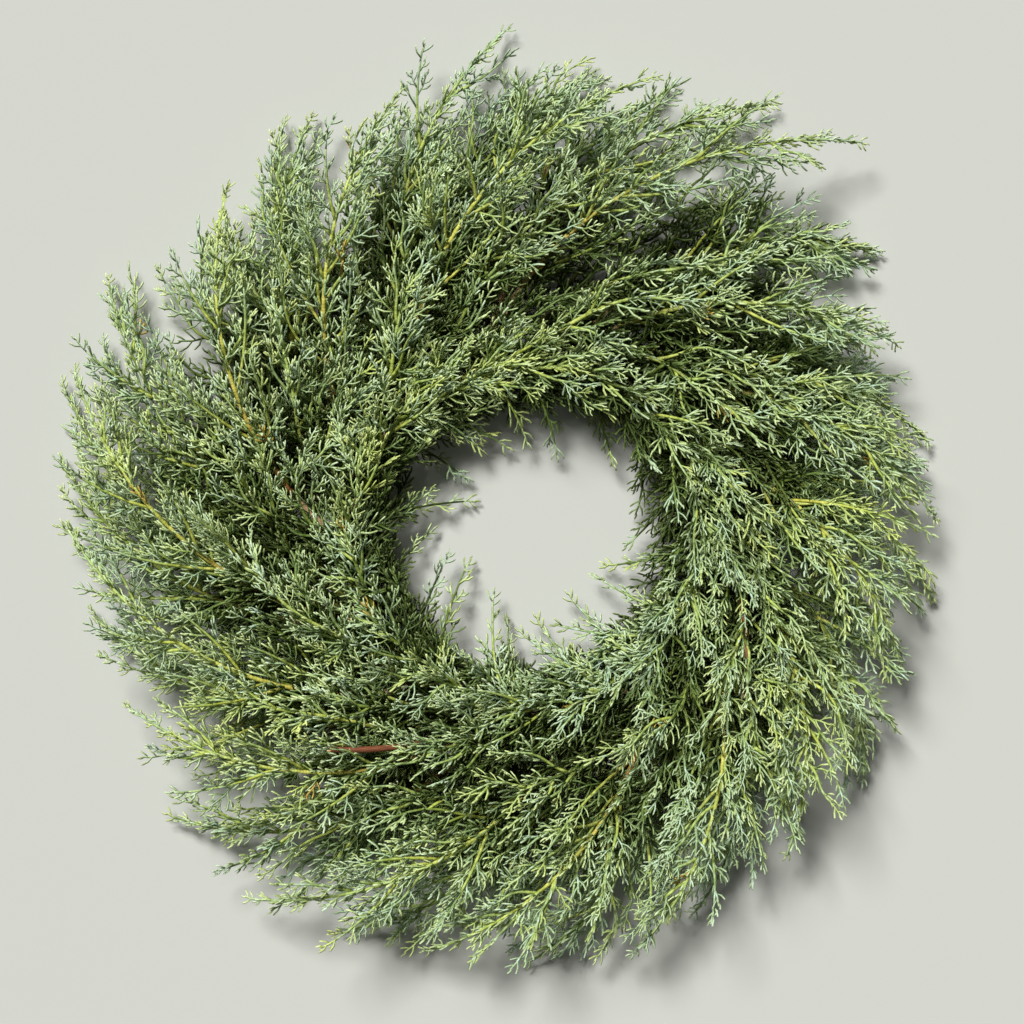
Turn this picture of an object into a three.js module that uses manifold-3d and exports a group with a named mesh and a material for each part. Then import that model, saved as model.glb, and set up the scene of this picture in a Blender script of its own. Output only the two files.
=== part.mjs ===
// A fresh cypress wreath, lying on its back with its face up. Millimetres, +Z up.
//
// A welded wire frame (two round rails on short crosspieces) carries fourteen bunches of cut cypress.
// Each bunch is three woody stems that grow out into three leafy sprays: a low one that fans outwards,
// a high one that arches over the top, and a short one that runs round the hole. One long binding wire
// is wound round the frame and the stems at every bunch. All sprays sweep clockwise.
//
// Places are given by clock angle (degrees clockwise from 12 o'clock, seen from above) and radius from
// the middle of the frame. The finished group is moved so that its origin is the middle of the
// bounding box on the surface that the wreath lies on.
import * as THREE from "three";
import { mergeVertices } from "three/addons/utils/BufferGeometryUtils.js";
import Module from "manifold-3d";

const wasm = await Module();
wasm.setup();

// ---------------------------------------------------------------- driving dimensions
const BUNCHES = 14;
const BUNCH_PITCH = 360 / BUNCHES;
const FIRST_TIE = BUNCH_PITCH / 2;
const TOUCHING_GAP = 0.3;

const INNER_RAIL = 108;
const OUTER_RAIL = 140;
const RAIL_WIRE = 3.4;
const CROSS_WIRE = 2.9;
const WELD_DEPTH = 0.5;
const RAIL_FACETS = 28;
const FLAT_OF_HEXAGON = Math.cos(Math.PI / 6);

const BINDING_WIRE = 0.9;
const TURNS_PER_TIE = 2;
const TURN_PITCH = 3.2;

const TIE_RADIUS = 122;
const BUNDLE_HALF_WIDTH = 9;
const BUTT_SHARE = 0.13;
const BUTT_SPREAD = 0.4;
const WOODY_SHARE = 0.2;
const STEM_END_RADIUS = 1.9;
const LEADER_TIP_RADIUS = 1.1;
const LEADER_STEPS = 5;

const FROND_ANGLE = 33;
const FROND_BEND = 0.3;
const FROND_THICKNESS = 1.3;
const STALK_WIDTH = 2.4;
const STALK_TAPER = 0.5;
const FROND_TILT = 50;
const FIRST_FROND = 0.25;
const LAST_FROND = 0.82;
const TWIG_WIDTH = 2;
const TWIG_ANGLE = 38;
const TWIG_LENGTH = 17;

const LOWEST_FOLIAGE = 1.5;
const HOLE_RADIUS = 72;
const TIP_INSET = 10;
const BEAD_PITCH = 3;
const FOLIAGE_GAP = 0.5;
const ROOT_ROOM = 13;
const ROLL_STEP = 13;
const ROLL_TRIES = 9;

// Every tier of sprays:
//   stem       where its stem lies in the tie (from the tie's radius, and above the surface), and how thick
//   crest      how far its leader arches above the straight line from tie to tip; tipHeight is the tip's
//   bulge      how far its leader bows outwards from the middle of the wreath
//   fronds     lengths from the first frond to the last, their rise above the level in degrees with its
//              scatter, and how many side twigs each one has
//   tips       [clock angle, reach] of the leader's tip in each bunch, from the one past 12 o'clock onwards
const TIERS = [
  {
    name: "low",
    stem: { aside: 1.7, height: 8.2, radius: 2.5 },
    crest: 16,
    tipHeight: 10,
    bulge: 4,
    fronds: { first: 92, last: 42, lift: 6, scatter: 26, twigs: [4, 3, 3, 3, 2] },
    tips: [
      [49, 279], [76, 257], [98, 255], [126, 260], [156, 258], [180, 268], [205, 274],
      [232, 287], [260, 280], [279, 299], [301, 311], [332, 298], [357, 320], [389, 313],
    ],
  },
  {
    name: "high",
    stem: { aside: 0, height: 10.8, radius: 2.5 },
    crest: 36,
    tipHeight: 30,
    bulge: -8,
    fronds: { first: 84, last: 40, lift: 8, scatter: 30, twigs: [4, 3, 3, 3, 2] },
    tips: [
      [62, 258], [87, 252], [109, 244], [141, 254], [166, 267], [194, 266], [218, 286],
      [247, 272], [271, 289], [290, 303], [319, 289], [344, 291], [375, 298], [400, 322],
    ],
  },
  {
    name: "inner",
    stem: { aside: -1.7, height: 8.2, radius: 2.1 },
    crest: 24,
    tipHeight: 30,
    bulge: -15,
    fronds: { first: 54, last: 30, lift: 14, scatter: 36, twigs: [3, 3, 2, 2] },
    tips: [
      [76, 122], [101, 118], [127, 116], [152, 120], [179, 116], [205, 118], [230, 116],
      [256, 120], [282, 124], [307, 128], [334, 126], [359, 118], [385, 118], [410, 122],
    ],
  },
];

const COLOURS = {
  frame: { color: 0x5c635c, roughness: 0.45, metalness: 0.8 },
  binding: { color: 0x38503a, roughness: 0.5, metalness: 0.4 },
  stems: { color: 0x9a5f32, roughness: 0.8, metalness: 0 },
  low: { color: 0x93a886, roughness: 0.75, metalness: 0 },
  high: { color: 0xa3b489, roughness: 0.75, metalness: 0 },
  inner: { color: 0x8c9f78, roughness: 0.75, metalness: 0 },
};

// ---------------------------------------------------------------- places and paths
const radians = THREE.MathUtils.degToRad;
const mix = THREE.MathUtils.lerp;
const UP = new THREE.Vector3(0, 0, 1);

function at(clock, radius, height) {
  const angle = radians(clock);
  return new THREE.Vector3(radius * Math.sin(angle), radius * Math.cos(angle), height);
}

function tieClock(bunch) {
  return FIRST_TIE + bunch * BUNCH_PITCH;
}

/** A number from 0 to 1 that looks random and is always the same for the same four counts. */
function chance(a, b, c, d) {
  const wave = Math.sin(a * 12.9898 + b * 78.233 + c * 37.719 + d * 4.581) * 43758.5453;
  return wave - Math.floor(wave);
}

/**
 * The middle line of a sprig: share 0 is the tie, 1 the tip, and below 0 the cut butt. It lies flat in
 * the tie, is highest two thirds of the way along, and then droops.
 */
function sprigPath(tier, bunch) {
  const [tipClock, reach] = tier.tips[bunch];
  const start = TIE_RADIUS + tier.stem.aside;
  return (share) => {
    const ahead = Math.max(share, 0);
    const outward = share < 0 ? BUTT_SPREAD * share : share;
    const radius = mix(start, reach, outward) + tier.bulge * 4 * ahead * (1 - ahead);
    const arch = tier.crest * 6.75 * ahead ** 2 * (1 - ahead);
    const height = mix(tier.stem.height, tier.tipHeight, ahead ** 2) + arch;
    return at(mix(tieClock(bunch), tipClock, share), radius, height);
  };
}

/** The path that runs straight from corner to corner, the first at one share and the last at another. */
function polyline(corners, from, to) {
  const last = corners.length - 1;
  return (share) => {
    const place = (last * (share - from)) / (to - from);
    const k = THREE.MathUtils.clamp(Math.floor(place), 0, last - 1);
    return corners[k].clone().lerp(corners[k + 1], place - k);
  };
}

/** The straight-sided version of a path that a rod with so many steps follows. */
function straightened(path, from, to, steps) {
  const corners = Array.from({ length: steps + 1 }, (_, k) => path(mix(from, to, k / steps)));
  return polyline(corners, from, to);
}

/** Which way a path runs at a share of it, with the level direction to its left and the one above it. */
function headingOf(path, share) {
  const step = 0.01;
  const along = path(share + step).sub(path(share - step)).normalize();
  const left = new THREE.Vector3().crossVectors(UP, along).normalize();
  const above = new THREE.Vector3().crossVectors(along, left);
  return { along, left, above };
}

/** A side shoot's path: it leaves its parent at an angle and bends towards the parent's own heading. */
function shootPath(root, heading, angle, roll, length, bend) {
  const side = heading.left.clone().multiplyScalar(Math.cos(radians(roll)));
  side.addScaledVector(heading.above, Math.sin(radians(roll)));
  const out = heading.along.clone().multiplyScalar(Math.cos(radians(angle)));
  out.addScaledVector(side, Math.sin(radians(angle)));
  const turn = heading.along.clone().sub(out).multiplyScalar(bend);
  return (share) => {
    const straight = root.clone().addScaledVector(out, length * share);
    return straight.addScaledVector(turn, length * share ** 2);
  };
}

// ---------------------------------------------------------------- rods and solids
/** A closed rod along a path: a cylinder's rings, moved onto the path and scaled to their radii. */
function rod(path, from, to, radiusAt, sides, steps, pointed = false) {
  const shape = new THREE.CylinderGeometry(pointed ? 0 : 1, 1, 1, sides, steps);
  const rings = ringsAlong(path, from, to, steps);
  const vertices = shape.getAttribute("position");
  for (let i = 0; i < vertices.count; i++) {
    const share = vertices.getY(i) + 0.5;
    const ring = rings[Math.round(share * steps)];
    const spread = Math.hypot(vertices.getX(i), vertices.getZ(i));
    const scale = spread > 0 ? radiusAt(share) / spread : 0;
    const point = ring.middle.clone();
    point.addScaledVector(ring.across, vertices.getX(i) * scale);
    point.addScaledVector(ring.beside, vertices.getZ(i) * scale);
    vertices.setXYZ(i, point.x, point.y, point.z);
  }
  return shape;
}

/** Evenly spaced cross-sections along a path, each turned as little as it can be from the one before. */
function ringsAlong(path, from, to, steps) {
  const step = (to - from) / steps;
  const rings = [];
  let across = UP;
  for (let k = 0; k <= steps; k++) {
    const share = from + k * step;
    const along = path(share + 0.05 * step).sub(path(share - 0.05 * step)).normalize();
    if (k === 0 && Math.abs(along.z) > 0.9) across = new THREE.Vector3(1, 0, 0);
    across = across.clone().addScaledVector(along, -across.dot(along)).normalize();
    rings.push({ middle: path(share), across, beside: new THREE.Vector3().crossVectors(across, along) });
  }
  return rings;
}

function solidOf(geometry) {
  const bare = geometry.clone();
  bare.deleteAttribute("normal");
  bare.deleteAttribute("uv");
  const merged = mergeVertices(bare, 1e-4);
  return new wasm.Manifold(
    new wasm.Mesh({
      numProp: 3,
      vertProperties: new Float32Array(merged.getAttribute("position").array),
      triVerts: new Uint32Array(merged.index.array),
    }),
  );
}

function fused(geometries) {
  return geometries.map(solidOf).reduce((whole, piece) => whole.add(piece));
}

function namedMesh(name, solid, look) {
  const { numProp, vertProperties, triVerts } = solid.getMesh();
  const places = new Float32Array((vertProperties.length / numProp) * 3);
  for (let i = 0; i < places.length / 3; i++) {
    places.set(vertProperties.subarray(i * numProp, i * numProp + 3), i * 3);
  }
  const geometry = new THREE.BufferGeometry();
  geometry.setAttribute("position", new THREE.BufferAttribute(places, 3));
  geometry.setIndex(new THREE.BufferAttribute(new Uint32Array(triVerts), 1));
  geometry.computeVertexNormals();
  const mesh = new THREE.Mesh(geometry, new THREE.MeshStandardMaterial(look));
  mesh.name = name;
  return mesh;
}

// ---------------------------------------------------------------- keeping pieces clear of each other
const beads = []; // every placed rod as a row of balls, with the node that it belongs to

function rowOfBeads(path, from, to, radiusAt, owner) {
  const span = path(from).distanceTo(path(to));
  const count = Math.max(2, Math.ceil(span / BEAD_PITCH));
  return Array.from({ length: count + 1 }, (_, k) => {
    const share = k / count;
    return { place: path(mix(from, to, share)), radius: radiusAt(share), owner };
  });
}

/** True if a row of beads stays off the surface and misses every bead, apart from its own near its root. */
function isClear(row, root, owner) {
  const slack = (BEAD_PITCH * BEAD_PITCH) / 2;
  const others = beads.filter((bead) => bead.owner !== owner || bead.place.distanceTo(root) > ROOT_ROOM);
  return row.every(({ place, radius }) => {
    if (place.z - radius < LOWEST_FOLIAGE) return false;
    return others.every((other) => {
      const room = radius + other.radius + FOLIAGE_GAP;
      return place.distanceToSquared(other.place) > room * room + slack;
    });
  });
}

// ---------------------------------------------------------------- wire frame
const CROSS_TOP = CROSS_WIRE * FLAT_OF_HEXAGON;
const RAIL_HEIGHT = CROSS_TOP + RAIL_WIRE / 2 - WELD_DEPTH;

function rail(radius) {
  const half = RAIL_WIRE / 2;
  const profile = Array.from({ length: 7 }, (_, k) => {
    const angle = radians(90 - 60 * (k % 6));
    return new THREE.Vector2(radius + half * Math.cos(angle), half * Math.sin(angle));
  });
  const ring = new THREE.LatheGeometry(profile.reverse(), RAIL_FACETS, Math.PI / RAIL_FACETS);
  return ring.rotateX(Math.PI / 2).translate(0, 0, RAIL_HEIGHT);
}

function crosspiece(clock) {
  const length = OUTER_RAIL - INNER_RAIL + RAIL_WIRE * FLAT_OF_HEXAGON;
  const bar = new THREE.CylinderGeometry(CROSS_WIRE / 2, CROSS_WIRE / 2, length, 6, 1);
  bar.rotateY(Math.PI / 6);
  bar.translate(0, (INNER_RAIL + OUTER_RAIL) / 2, CROSS_TOP / 2);
  return bar.rotateZ(-radians(clock));
}

function wireFrame() {
  const bars = [];
  for (let bunch = 0; bunch < BUNCHES; bunch += 2) {
    bars.push(crosspiece(tieClock(bunch) + BUNCH_PITCH / 2));
  }
  return fused([rail(INNER_RAIL), rail(OUTER_RAIL), ...bars]);
}

// ---------------------------------------------------------------- binding wire
/** The wire's corner points: two turns round the frame and the stems at each tie, then on to the next. */
function bindingRoute() {
  const clearance = TOUCHING_GAP + 0.75 * BINDING_WIRE;
  const reach = RAIL_WIRE / 2 + clearance;
  const side = RAIL_HEIGHT + 0.6 * reach;
  const under = RAIL_HEIGHT - reach;
  const { stem } = TIERS.find((tier) => tier.name === "high");
  const over = stem.height + stem.radius + clearance;
  const turn = [
    [INNER_RAIL - 0.8 * reach, under],
    [INNER_RAIL - 1.4 * reach, side],
    [TIE_RADIUS - BUNDLE_HALF_WIDTH, over],
    [TIE_RADIUS + BUNDLE_HALF_WIDTH, over],
    [OUTER_RAIL + 1.4 * reach, side],
    [OUTER_RAIL + 0.8 * reach, under],
  ];
  const route = [];
  for (let bunch = 0; bunch < BUNCHES; bunch++) {
    for (let k = 0; k <= TURNS_PER_TIE * turn.length; k++) {
      const [radius, height] = turn[k % turn.length];
      const slant = (k / turn.length - TURNS_PER_TIE / 2) * TURN_PITCH;
      route.push(at(tieClock(bunch) + THREE.MathUtils.radToDeg(slant / TIE_RADIUS), radius, height));
    }
  }
  return route;
}

function bindingWire() {
  const route = bindingRoute();
  return rod(polyline(route, 0, 1), 0, 1, () => BINDING_WIRE / 2, 3, route.length - 1);
}

// ---------------------------------------------------------------- stems and sprays
function nodeName(kind, bunch) {
  return kind + "_" + String(bunch + 1).padStart(2, "0");
}

function stemRadius(tier) {
  return (share) => mix(tier.stem.radius, STEM_END_RADIUS, share);
}

function leaderRadius(share) {
  return mix(STEM_END_RADIUS, LEADER_TIP_RADIUS, share);
}

/** The middle line of a spray's leader, and the share at which it starts, a hair past its woody stem. */
function leaderOf(tier, bunch) {
  const path = sprigPath(tier, bunch);
  const start = WOODY_SHARE + TOUCHING_GAP / path(0).distanceTo(path(1));
  return { path, start, line: straightened(path, start, 1, LEADER_STEPS) };
}

function woodyStems(bunch) {
  return fused(
    TIERS.map((tier) => rod(sprigPath(tier, bunch), -BUTT_SHARE, WOODY_SHARE, stemRadius(tier), 4, 2)),
  );
}

/** Turns a frond's flat outline (along the stalk, across it, through it) into a place in the wreath. */
function frondPlacer(path, length, tilt) {
  return (along, across, through) => {
    const { left, above } = headingOf(path, along / length);
    const turn = radians(tilt);
    const beside = left.clone().multiplyScalar(Math.cos(turn)).addScaledVector(above, Math.sin(turn));
    const normal = above.clone().multiplyScalar(Math.cos(turn)).addScaledVector(left, -Math.sin(turn));
    return path(along / length).addScaledVector(beside, across).addScaledVector(normal, through);
  };
}

function halfStalk(along, length) {
  return (STALK_WIDTH / 2) * (1 - STALK_TAPER * (along / length));
}

/** A side twig's outline: where it leaves the stalk's edge, its tip, and where it comes back. */
function twigOutline(twig, length) {
  const base = TWIG_WIDTH / Math.sin(radians(TWIG_ANGLE));
  const tip = twig.from + base / 2 + twig.length * Math.cos(radians(TWIG_ANGLE));
  const edge = halfStalk(twig.from, length);
  return [
    [twig.from, twig.side * edge],
    [tip, twig.side * (edge + twig.length * Math.sin(radians(TWIG_ANGLE)))],
    [twig.from + base, twig.side * halfStalk(twig.from + base, length)],
  ];
}

function frondSolid(frond) {
  const { length, twigs, place } = frond;
  const edgePoints = (side) => {
    return twigs.filter((twig) => twig.side === side).flatMap((twig) => twigOutline(twig, length));
  };
  const outline = [[-STALK_WIDTH / 2, 0], ...edgePoints(-1), [length, 0], ...edgePoints(1).reverse()];
  const shape = new THREE.Shape(outline.map(([along, across]) => new THREE.Vector2(along, across)));
  const plate = new THREE.ExtrudeGeometry(shape, { depth: FROND_THICKNESS, bevelEnabled: false });
  const vertices = plate.getAttribute("position");
  for (let i = 0; i < vertices.count; i++) {
    const point = place(vertices.getX(i), vertices.getY(i), vertices.getZ(i) - FROND_THICKNESS / 2);
    vertices.setXYZ(i, point.x, point.y, point.z);
  }
  return plate;
}

/** Rolls to try round the leader, nearest to the wanted one first. */
function rollsFrom(wanted) {
  return Array.from({ length: ROLL_TRIES }, (_, k) => wanted + (k % 2 ? 1 : -1) * Math.ceil(k / 2) * ROLL_STEP);
}

/** Keeps those side twigs that miss every other node, at full length or shortened. */
function clearTwigs(count, length, place, seed, owner) {
  const found = [];
  for (let k = 0; k < count; k++) {
    const from = length * mix(0.16, 0.84, (k + 0.5 * chance(seed, k, 3, 1)) / count);
    const side = (k + seed) % 2 ? 1 : -1;
    for (const reach of [1, 0.7, 0.45]) {
      const twig = { from, side, length: TWIG_LENGTH * reach * (0.8 + 0.4 * chance(seed, k, 5, 2)) };
      const [start, tip] = twigOutline(twig, length).map(([along, across]) => place(along, across, 0));
      const row = rowOfBeads((share) => start.clone().lerp(tip, share), 0.1, 1, () => TWIG_WIDTH / 2, owner);
      if (!isClear(row, start, owner)) continue;
      beads.push(...row);
      found.push(twig);
      break;
    }
  }
  return found;
}

/** One frond of a spray, at the first roll and length that fit, or null. */
function clearFrond(tier, bunch, k, leader, owner) {
  const { first, last, lift, scatter, twigs } = tier.fronds;
  const seed = bunch * 8 + k + TIERS.indexOf(tier) * 120;
  const share = mix(FIRST_FROND, LAST_FROND, (k + 0.6 * chance(seed, 1, 1, 1)) / (twigs.length - 0.4));
  const full = mix(first, last, k / (twigs.length - 1)) * (0.85 + 0.3 * chance(seed, 2, 2, 2));
  const raised = lift + scatter * (2 * chance(seed, 3, 3, 3) - 1);
  const wanted = k % 2 ? raised : 180 - raised;
  const heading = headingOf(leader.path, share);
  const root = leader.line(share);
  const farthest = Math.max(tier.tips[bunch][1] - TIP_INSET, OUTER_RAIL);
  for (const length of [full, full * 0.82, full * 0.64]) {
    for (const roll of rollsFrom(wanted)) {
      const path = shootPath(root, heading, FROND_ANGLE, roll, length, FROND_BEND);
      const { x, y } = path(1);
      const row = rowOfBeads(path, 0.08, 1, () => STALK_WIDTH / 2, owner);
      const radius = Math.hypot(x, y);
      if (radius < HOLE_RADIUS || radius > farthest || !isClear(row, root, owner)) continue;
      beads.push(...row);
      const place = frondPlacer(path, length, FROND_TILT * (2 * chance(seed, 4, 4, 4) - 1));
      return { length, place, twigs: clearTwigs(twigs[k], length, place, seed, owner) };
    }
  }
  return null;
}

function leafySpray(tier, bunch, owner) {
  const leader = leaderOf(tier, bunch);
  const pieces = [rod(leader.path, leader.start, 1, leaderRadius, 4, LEADER_STEPS, true)];
  tier.fronds.twigs.forEach((_, k) => {
    const frond = clearFrond(tier, bunch, k, leader, owner);
    if (frond) pieces.push(frondSolid(frond));
  });
  return fused(pieces);
}

/** Enters the frame, the binding wire, the stems and every spray's leader before any shoot is placed. */
function enterFixedPieces() {
  for (const radius of [INNER_RAIL, OUTER_RAIL]) {
    const ring = (share) => at(360 * share, radius, RAIL_HEIGHT);
    for (let k = 0; k < BUNCHES; k++) {
      beads.push(...rowOfBeads(ring, k / BUNCHES, (k + 1) / BUNCHES, () => RAIL_WIRE / 2, "wire_frame"));
    }
  }
  const route = bindingRoute();
  route.slice(1).forEach((place, k) => {
    const stretch = (share) => route[k].clone().lerp(place, share);
    beads.push(...rowOfBeads(stretch, 0, 1, () => BINDING_WIRE / 2, "binding_wire"));
  });
  for (let bunch = 0; bunch < BUNCHES; bunch++) {
    for (const tier of TIERS) {
      const { path, line, start } = leaderOf(tier, bunch);
      beads.push(...rowOfBeads(path, -BUTT_SHARE, WOODY_SHARE, stemRadius(tier), nodeName("stems", bunch)));
      beads.push(...rowOfBeads(line, start, 1, leaderRadius, nodeName("spray_" + tier.name, bunch)));
    }
  }
}

// ---------------------------------------------------------------- the wreath
const wreath = new THREE.Group();
wreath.add(namedMesh("wire_frame", wireFrame(), COLOURS.frame));
wreath.add(namedMesh("binding_wire", solidOf(bindingWire()), COLOURS.binding));
enterFixedPieces();
for (let bunch = 0; bunch < BUNCHES; bunch++) {
  wreath.add(namedMesh(nodeName("stems", bunch), woodyStems(bunch), COLOURS.stems));
}
for (const tier of TIERS) {
  for (let bunch = 0; bunch < BUNCHES; bunch++) {
    const name = nodeName("spray_" + tier.name, bunch);
    wreath.add(namedMesh(name, leafySpray(tier, bunch, name), COLOURS[tier.name]));
  }
}

const box = new THREE.Box3().setFromObject(wreath);
const middle = box.getCenter(new THREE.Vector3());
wreath.position.set(-middle.x, -middle.y, -box.min.z);

export default wreath;
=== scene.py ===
"""A fresh cypress wreath, lying on its back with its face up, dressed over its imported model.

Every woody stem grows out into a leader. A leader carries plumes, a plume carries branchlets on both
sides, and a branchlet carries short twiglets clad in scale leaves. Places are worked out in millimetres
by clock angle (degrees clockwise from 12 o'clock) and radius from the middle of the wire ring, and become
metres when a mesh is made.
"""

import math

import bpy
import numpy as np
from mathutils import Matrix, Vector


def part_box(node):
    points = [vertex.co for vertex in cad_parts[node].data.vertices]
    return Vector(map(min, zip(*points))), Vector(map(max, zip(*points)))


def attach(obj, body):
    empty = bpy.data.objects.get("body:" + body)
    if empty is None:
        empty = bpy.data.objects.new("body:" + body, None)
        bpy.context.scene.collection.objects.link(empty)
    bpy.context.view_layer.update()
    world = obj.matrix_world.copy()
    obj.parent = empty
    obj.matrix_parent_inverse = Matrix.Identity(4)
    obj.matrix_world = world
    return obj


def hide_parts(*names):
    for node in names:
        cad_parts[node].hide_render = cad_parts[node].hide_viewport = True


MM = 0.001

# ---------------------------------------------------------------- the ring and the ties
BUNCHES = 14
BUNCH_PITCH = 360 / BUNCHES
FIRST_TIE = BUNCH_PITCH / 2
TOUCHING_GAP = 0.3  # between pieces that would touch

INNER_RAIL = 108
OUTER_RAIL = 140
RAIL_RADIUS = 1.7
RAIL_STEPS = 140
RAIL_SIDES = 10
CROSS_RADIUS = 1.255
CROSS_END_ROUNDING = 0.5
WELD_DEPTH = 0.5
RAIL_HEIGHT = 2 * CROSS_RADIUS + RAIL_RADIUS - WELD_DEPTH

BINDING_RADIUS = 0.45
TURNS_PER_TIE = 2
TURN_PITCH = 3.2
TIE_RADIUS = 122
BUNDLE_HALF_WIDTH = 9
# how far the wire's corners stand off a rail's middle, as shares of their reach
WRAP_INWARDS = 0.8
WRAP_BESIDE = 1.4
WRAP_UPWARDS = 0.6

# ---------------------------------------------------------------- stems, leaders and fronds
BUTT_SHARE = 0.13  # how far a stem runs back past its tie, as a share of its sprig
BUTT_SPREAD = 0.4
WOODY_SHARE = 0.2  # how far along its sprig the leaves begin
STEM_END_RADIUS = 1.9
LEADER_TIP_RADIUS = 1.1
LEADER_STEPS = 5

FROND_ANGLE = 33
FROND_BEND = 0.3
STALK_WIDTH = 2.4
STALK_TAPER = 0.5
FROND_TILT = 50
FIRST_FROND = 0.25
LAST_FROND = 0.82
FROND_SCATTER = 0.6
FROND_VARIES = (0.85, 0.3)
FROND_LENGTHS = (1, 0.82, 0.64)  # the shares of its length that are tried until a frond fits
TWIG_WIDTH = 2
TWIG_ANGLE = 38
TWIG_LENGTH = 17
TWIG_SHARES = (0.16, 0.84)  # where on its frond the first and the last twig grow
TWIG_SCATTER = 0.5
TWIG_VARIES = (0.8, 0.4)
TWIG_LENGTHS = (1, 0.7, 0.45)

LOWEST_FOLIAGE = 1.5
HOLE_RADIUS = 72
TIP_INSET = 10
BEAD_PITCH = 3  # shoots are tested for room as rows of beads
FOLIAGE_GAP = 0.5
ROOT_ROOM = 13  # a shoot may be this near its own leader, round its root
FROND_FREE_FROM = 0.08  # the share of a frond from which it needs room round it
TWIG_FREE_FROM = 0.1
ROLL_STEP = 13
ROLL_TRIES = 9
MOST_BEADS = 60000

# the three sprays of a bunch:
#   stem        how far aside of the tie's radius it lies, its height and its radius
#   crest       how far its leader arches up;  bulge  how far it bows outwards
#   tip_height  the height of the leader's tip;  tips  clock angle and radius of the tip in each bunch
#   fronds      first and last length, lift and scatter in degrees;  twigs  how many each frond has
TIERS = [
    {
        "name": "low",
        "stem": (1.7, 8.2, 2.5),
        "crest": 16,
        "tip_height": 10,
        "bulge": 4,
        "fronds": (92, 42, 6, 26),
        "twigs": (4, 3, 3, 3, 2),
        "tips": [
            (49, 279), (76, 257), (98, 255), (126, 260), (156, 258), (180, 268), (205, 274),
            (232, 287), (260, 280), (279, 299), (301, 311), (332, 298), (357, 320), (389, 313),
        ],
    },
    {
        "name": "high",
        "stem": (0, 10.8, 2.5),
        "crest": 36,
        "tip_height": 30,
        "bulge": -8,
        "fronds": (84, 40, 8, 30),
        "twigs": (4, 3, 3, 3, 2),
        "tips": [
            (62, 258), (87, 252), (109, 244), (141, 254), (166, 267), (194, 266), (218, 286),
            (247, 272), (271, 289), (290, 303), (319, 289), (344, 291), (375, 298), (400, 322),
        ],
    },
    {
        "name": "inner",
        "stem": (-1.7, 8.2, 2.1),
        "crest": 24,
        "tip_height": 30,
        "bulge": -15,
        "fronds": (54, 30, 14, 36),
        "twigs": (3, 3, 2, 2),
        "tips": [
            (76, 122), (101, 118), (127, 116), (152, 120), (179, 116), (205, 118), (230, 116),
            (256, 120), (282, 124), (307, 128), (334, 126), (359, 118), (385, 118), (410, 122),
        ],
    },
]

# ---------------------------------------------------------------- foliage that fills the sprays out
# extra plumes on a leader: how many, and the lengths of the first and the last
FILLING = {"low": (11, 76, 26), "high": (11, 74, 26), "inner": (10, 56, 26)}
# how steeply plumes leave their leader, in degrees
PLUME_ANGLES = {"low": (18, 50), "high": (18, 50), "inner": (24, 68)}
# the shorter sprigs that are tied in between, by the tier whose spray they thicken:
#   start    clock angle past the tie, radius and height of the root
#   ahead    how much farther round the clock the tip lies
#   reach    radius of the tip, as a share of the outline there, or of INNER_SPAN round the hole
#   plumes   as in FILLING
#   bunches  the only bunches that have this sprig, where not all do
SPRIGS = {
    "low": [
        {"start": (10, 128, 7), "ahead": 36, "reach": 0.84, "crest": 8, "tip_height": 7, "bulge": 4,
         "plumes": (10, 66, 30)},
        {"start": (17, 122, 6), "ahead": 34, "reach": 0.68, "crest": 8, "tip_height": 8, "bulge": 4,
         "plumes": (9, 60, 30)},
        {"start": (6, 126, 8), "ahead": 33, "reach": 0.95, "crest": 6, "tip_height": 9, "bulge": 8,
         "plumes": (12, 62, 38), "bunches": (0, 1, 9, 10, 11, 12, 13)},
        {"start": (18, 124, 9), "ahead": 33, "reach": 0.92, "crest": 10, "tip_height": 12, "bulge": 6,
         "plumes": (12, 62, 38), "bunches": (0, 9, 10, 11, 12)},
    ],
    "high": [
        {"start": (4, 118, 15), "ahead": 44, "reach": 0.6, "crest": 26, "tip_height": 40, "bulge": -4,
         "plumes": (10, 58, 28)},
        {"start": (14, 126, 13), "ahead": 38, "reach": 0.76, "crest": 26, "tip_height": 32, "bulge": -6,
         "plumes": (10, 62, 28)},
        {"start": (9, 116, 16), "ahead": 34, "reach": 0.51, "crest": 14, "tip_height": 36, "bulge": 2,
         "plumes": (9, 48, 26)},
    ],
    "inner": [
        {"start": (8, 112, 12), "ahead": 42, "reach": 0.345, "crest": 16, "tip_height": 26, "bulge": -8,
         "plumes": (8, 34, 20)},
        {"start": (18, 110, 6), "ahead": 38, "reach": 0.335, "crest": 5, "tip_height": 9, "bulge": -6,
         "plumes": (8, 32, 20)},
    ],
}
# side branches that were cut short, by bunch: where each begins, bends and ends
STUBS = {
    3: ((94, 125, 14), (112, 148, 52), (127, 164, 53)),
    7: ((197, 125, 14), (209, 152, 49), (224, 181, 53)),
}
# how far the foliage reaches, every ten degrees clockwise from 12 o'clock
OUTLINE = [
    324, 303, 303, 317, 325, 286, 263, 259, 257, 252, 257, 249, 260, 265, 253, 261, 263, 268,
    271, 269, 270, 281, 289, 288, 272, 274, 282, 291, 303, 318, 322, 297, 294, 311, 297, 295,
]
OUTLINE_STEP = 10
# where the foliage round the hole begins, every thirty degrees clockwise from 12 o'clock
HOLE_EDGE = [77, 84, 80, 76, 72, 71, 73, 78, 86, 89, 87, 78]
HOLE_STEP = 30
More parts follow.
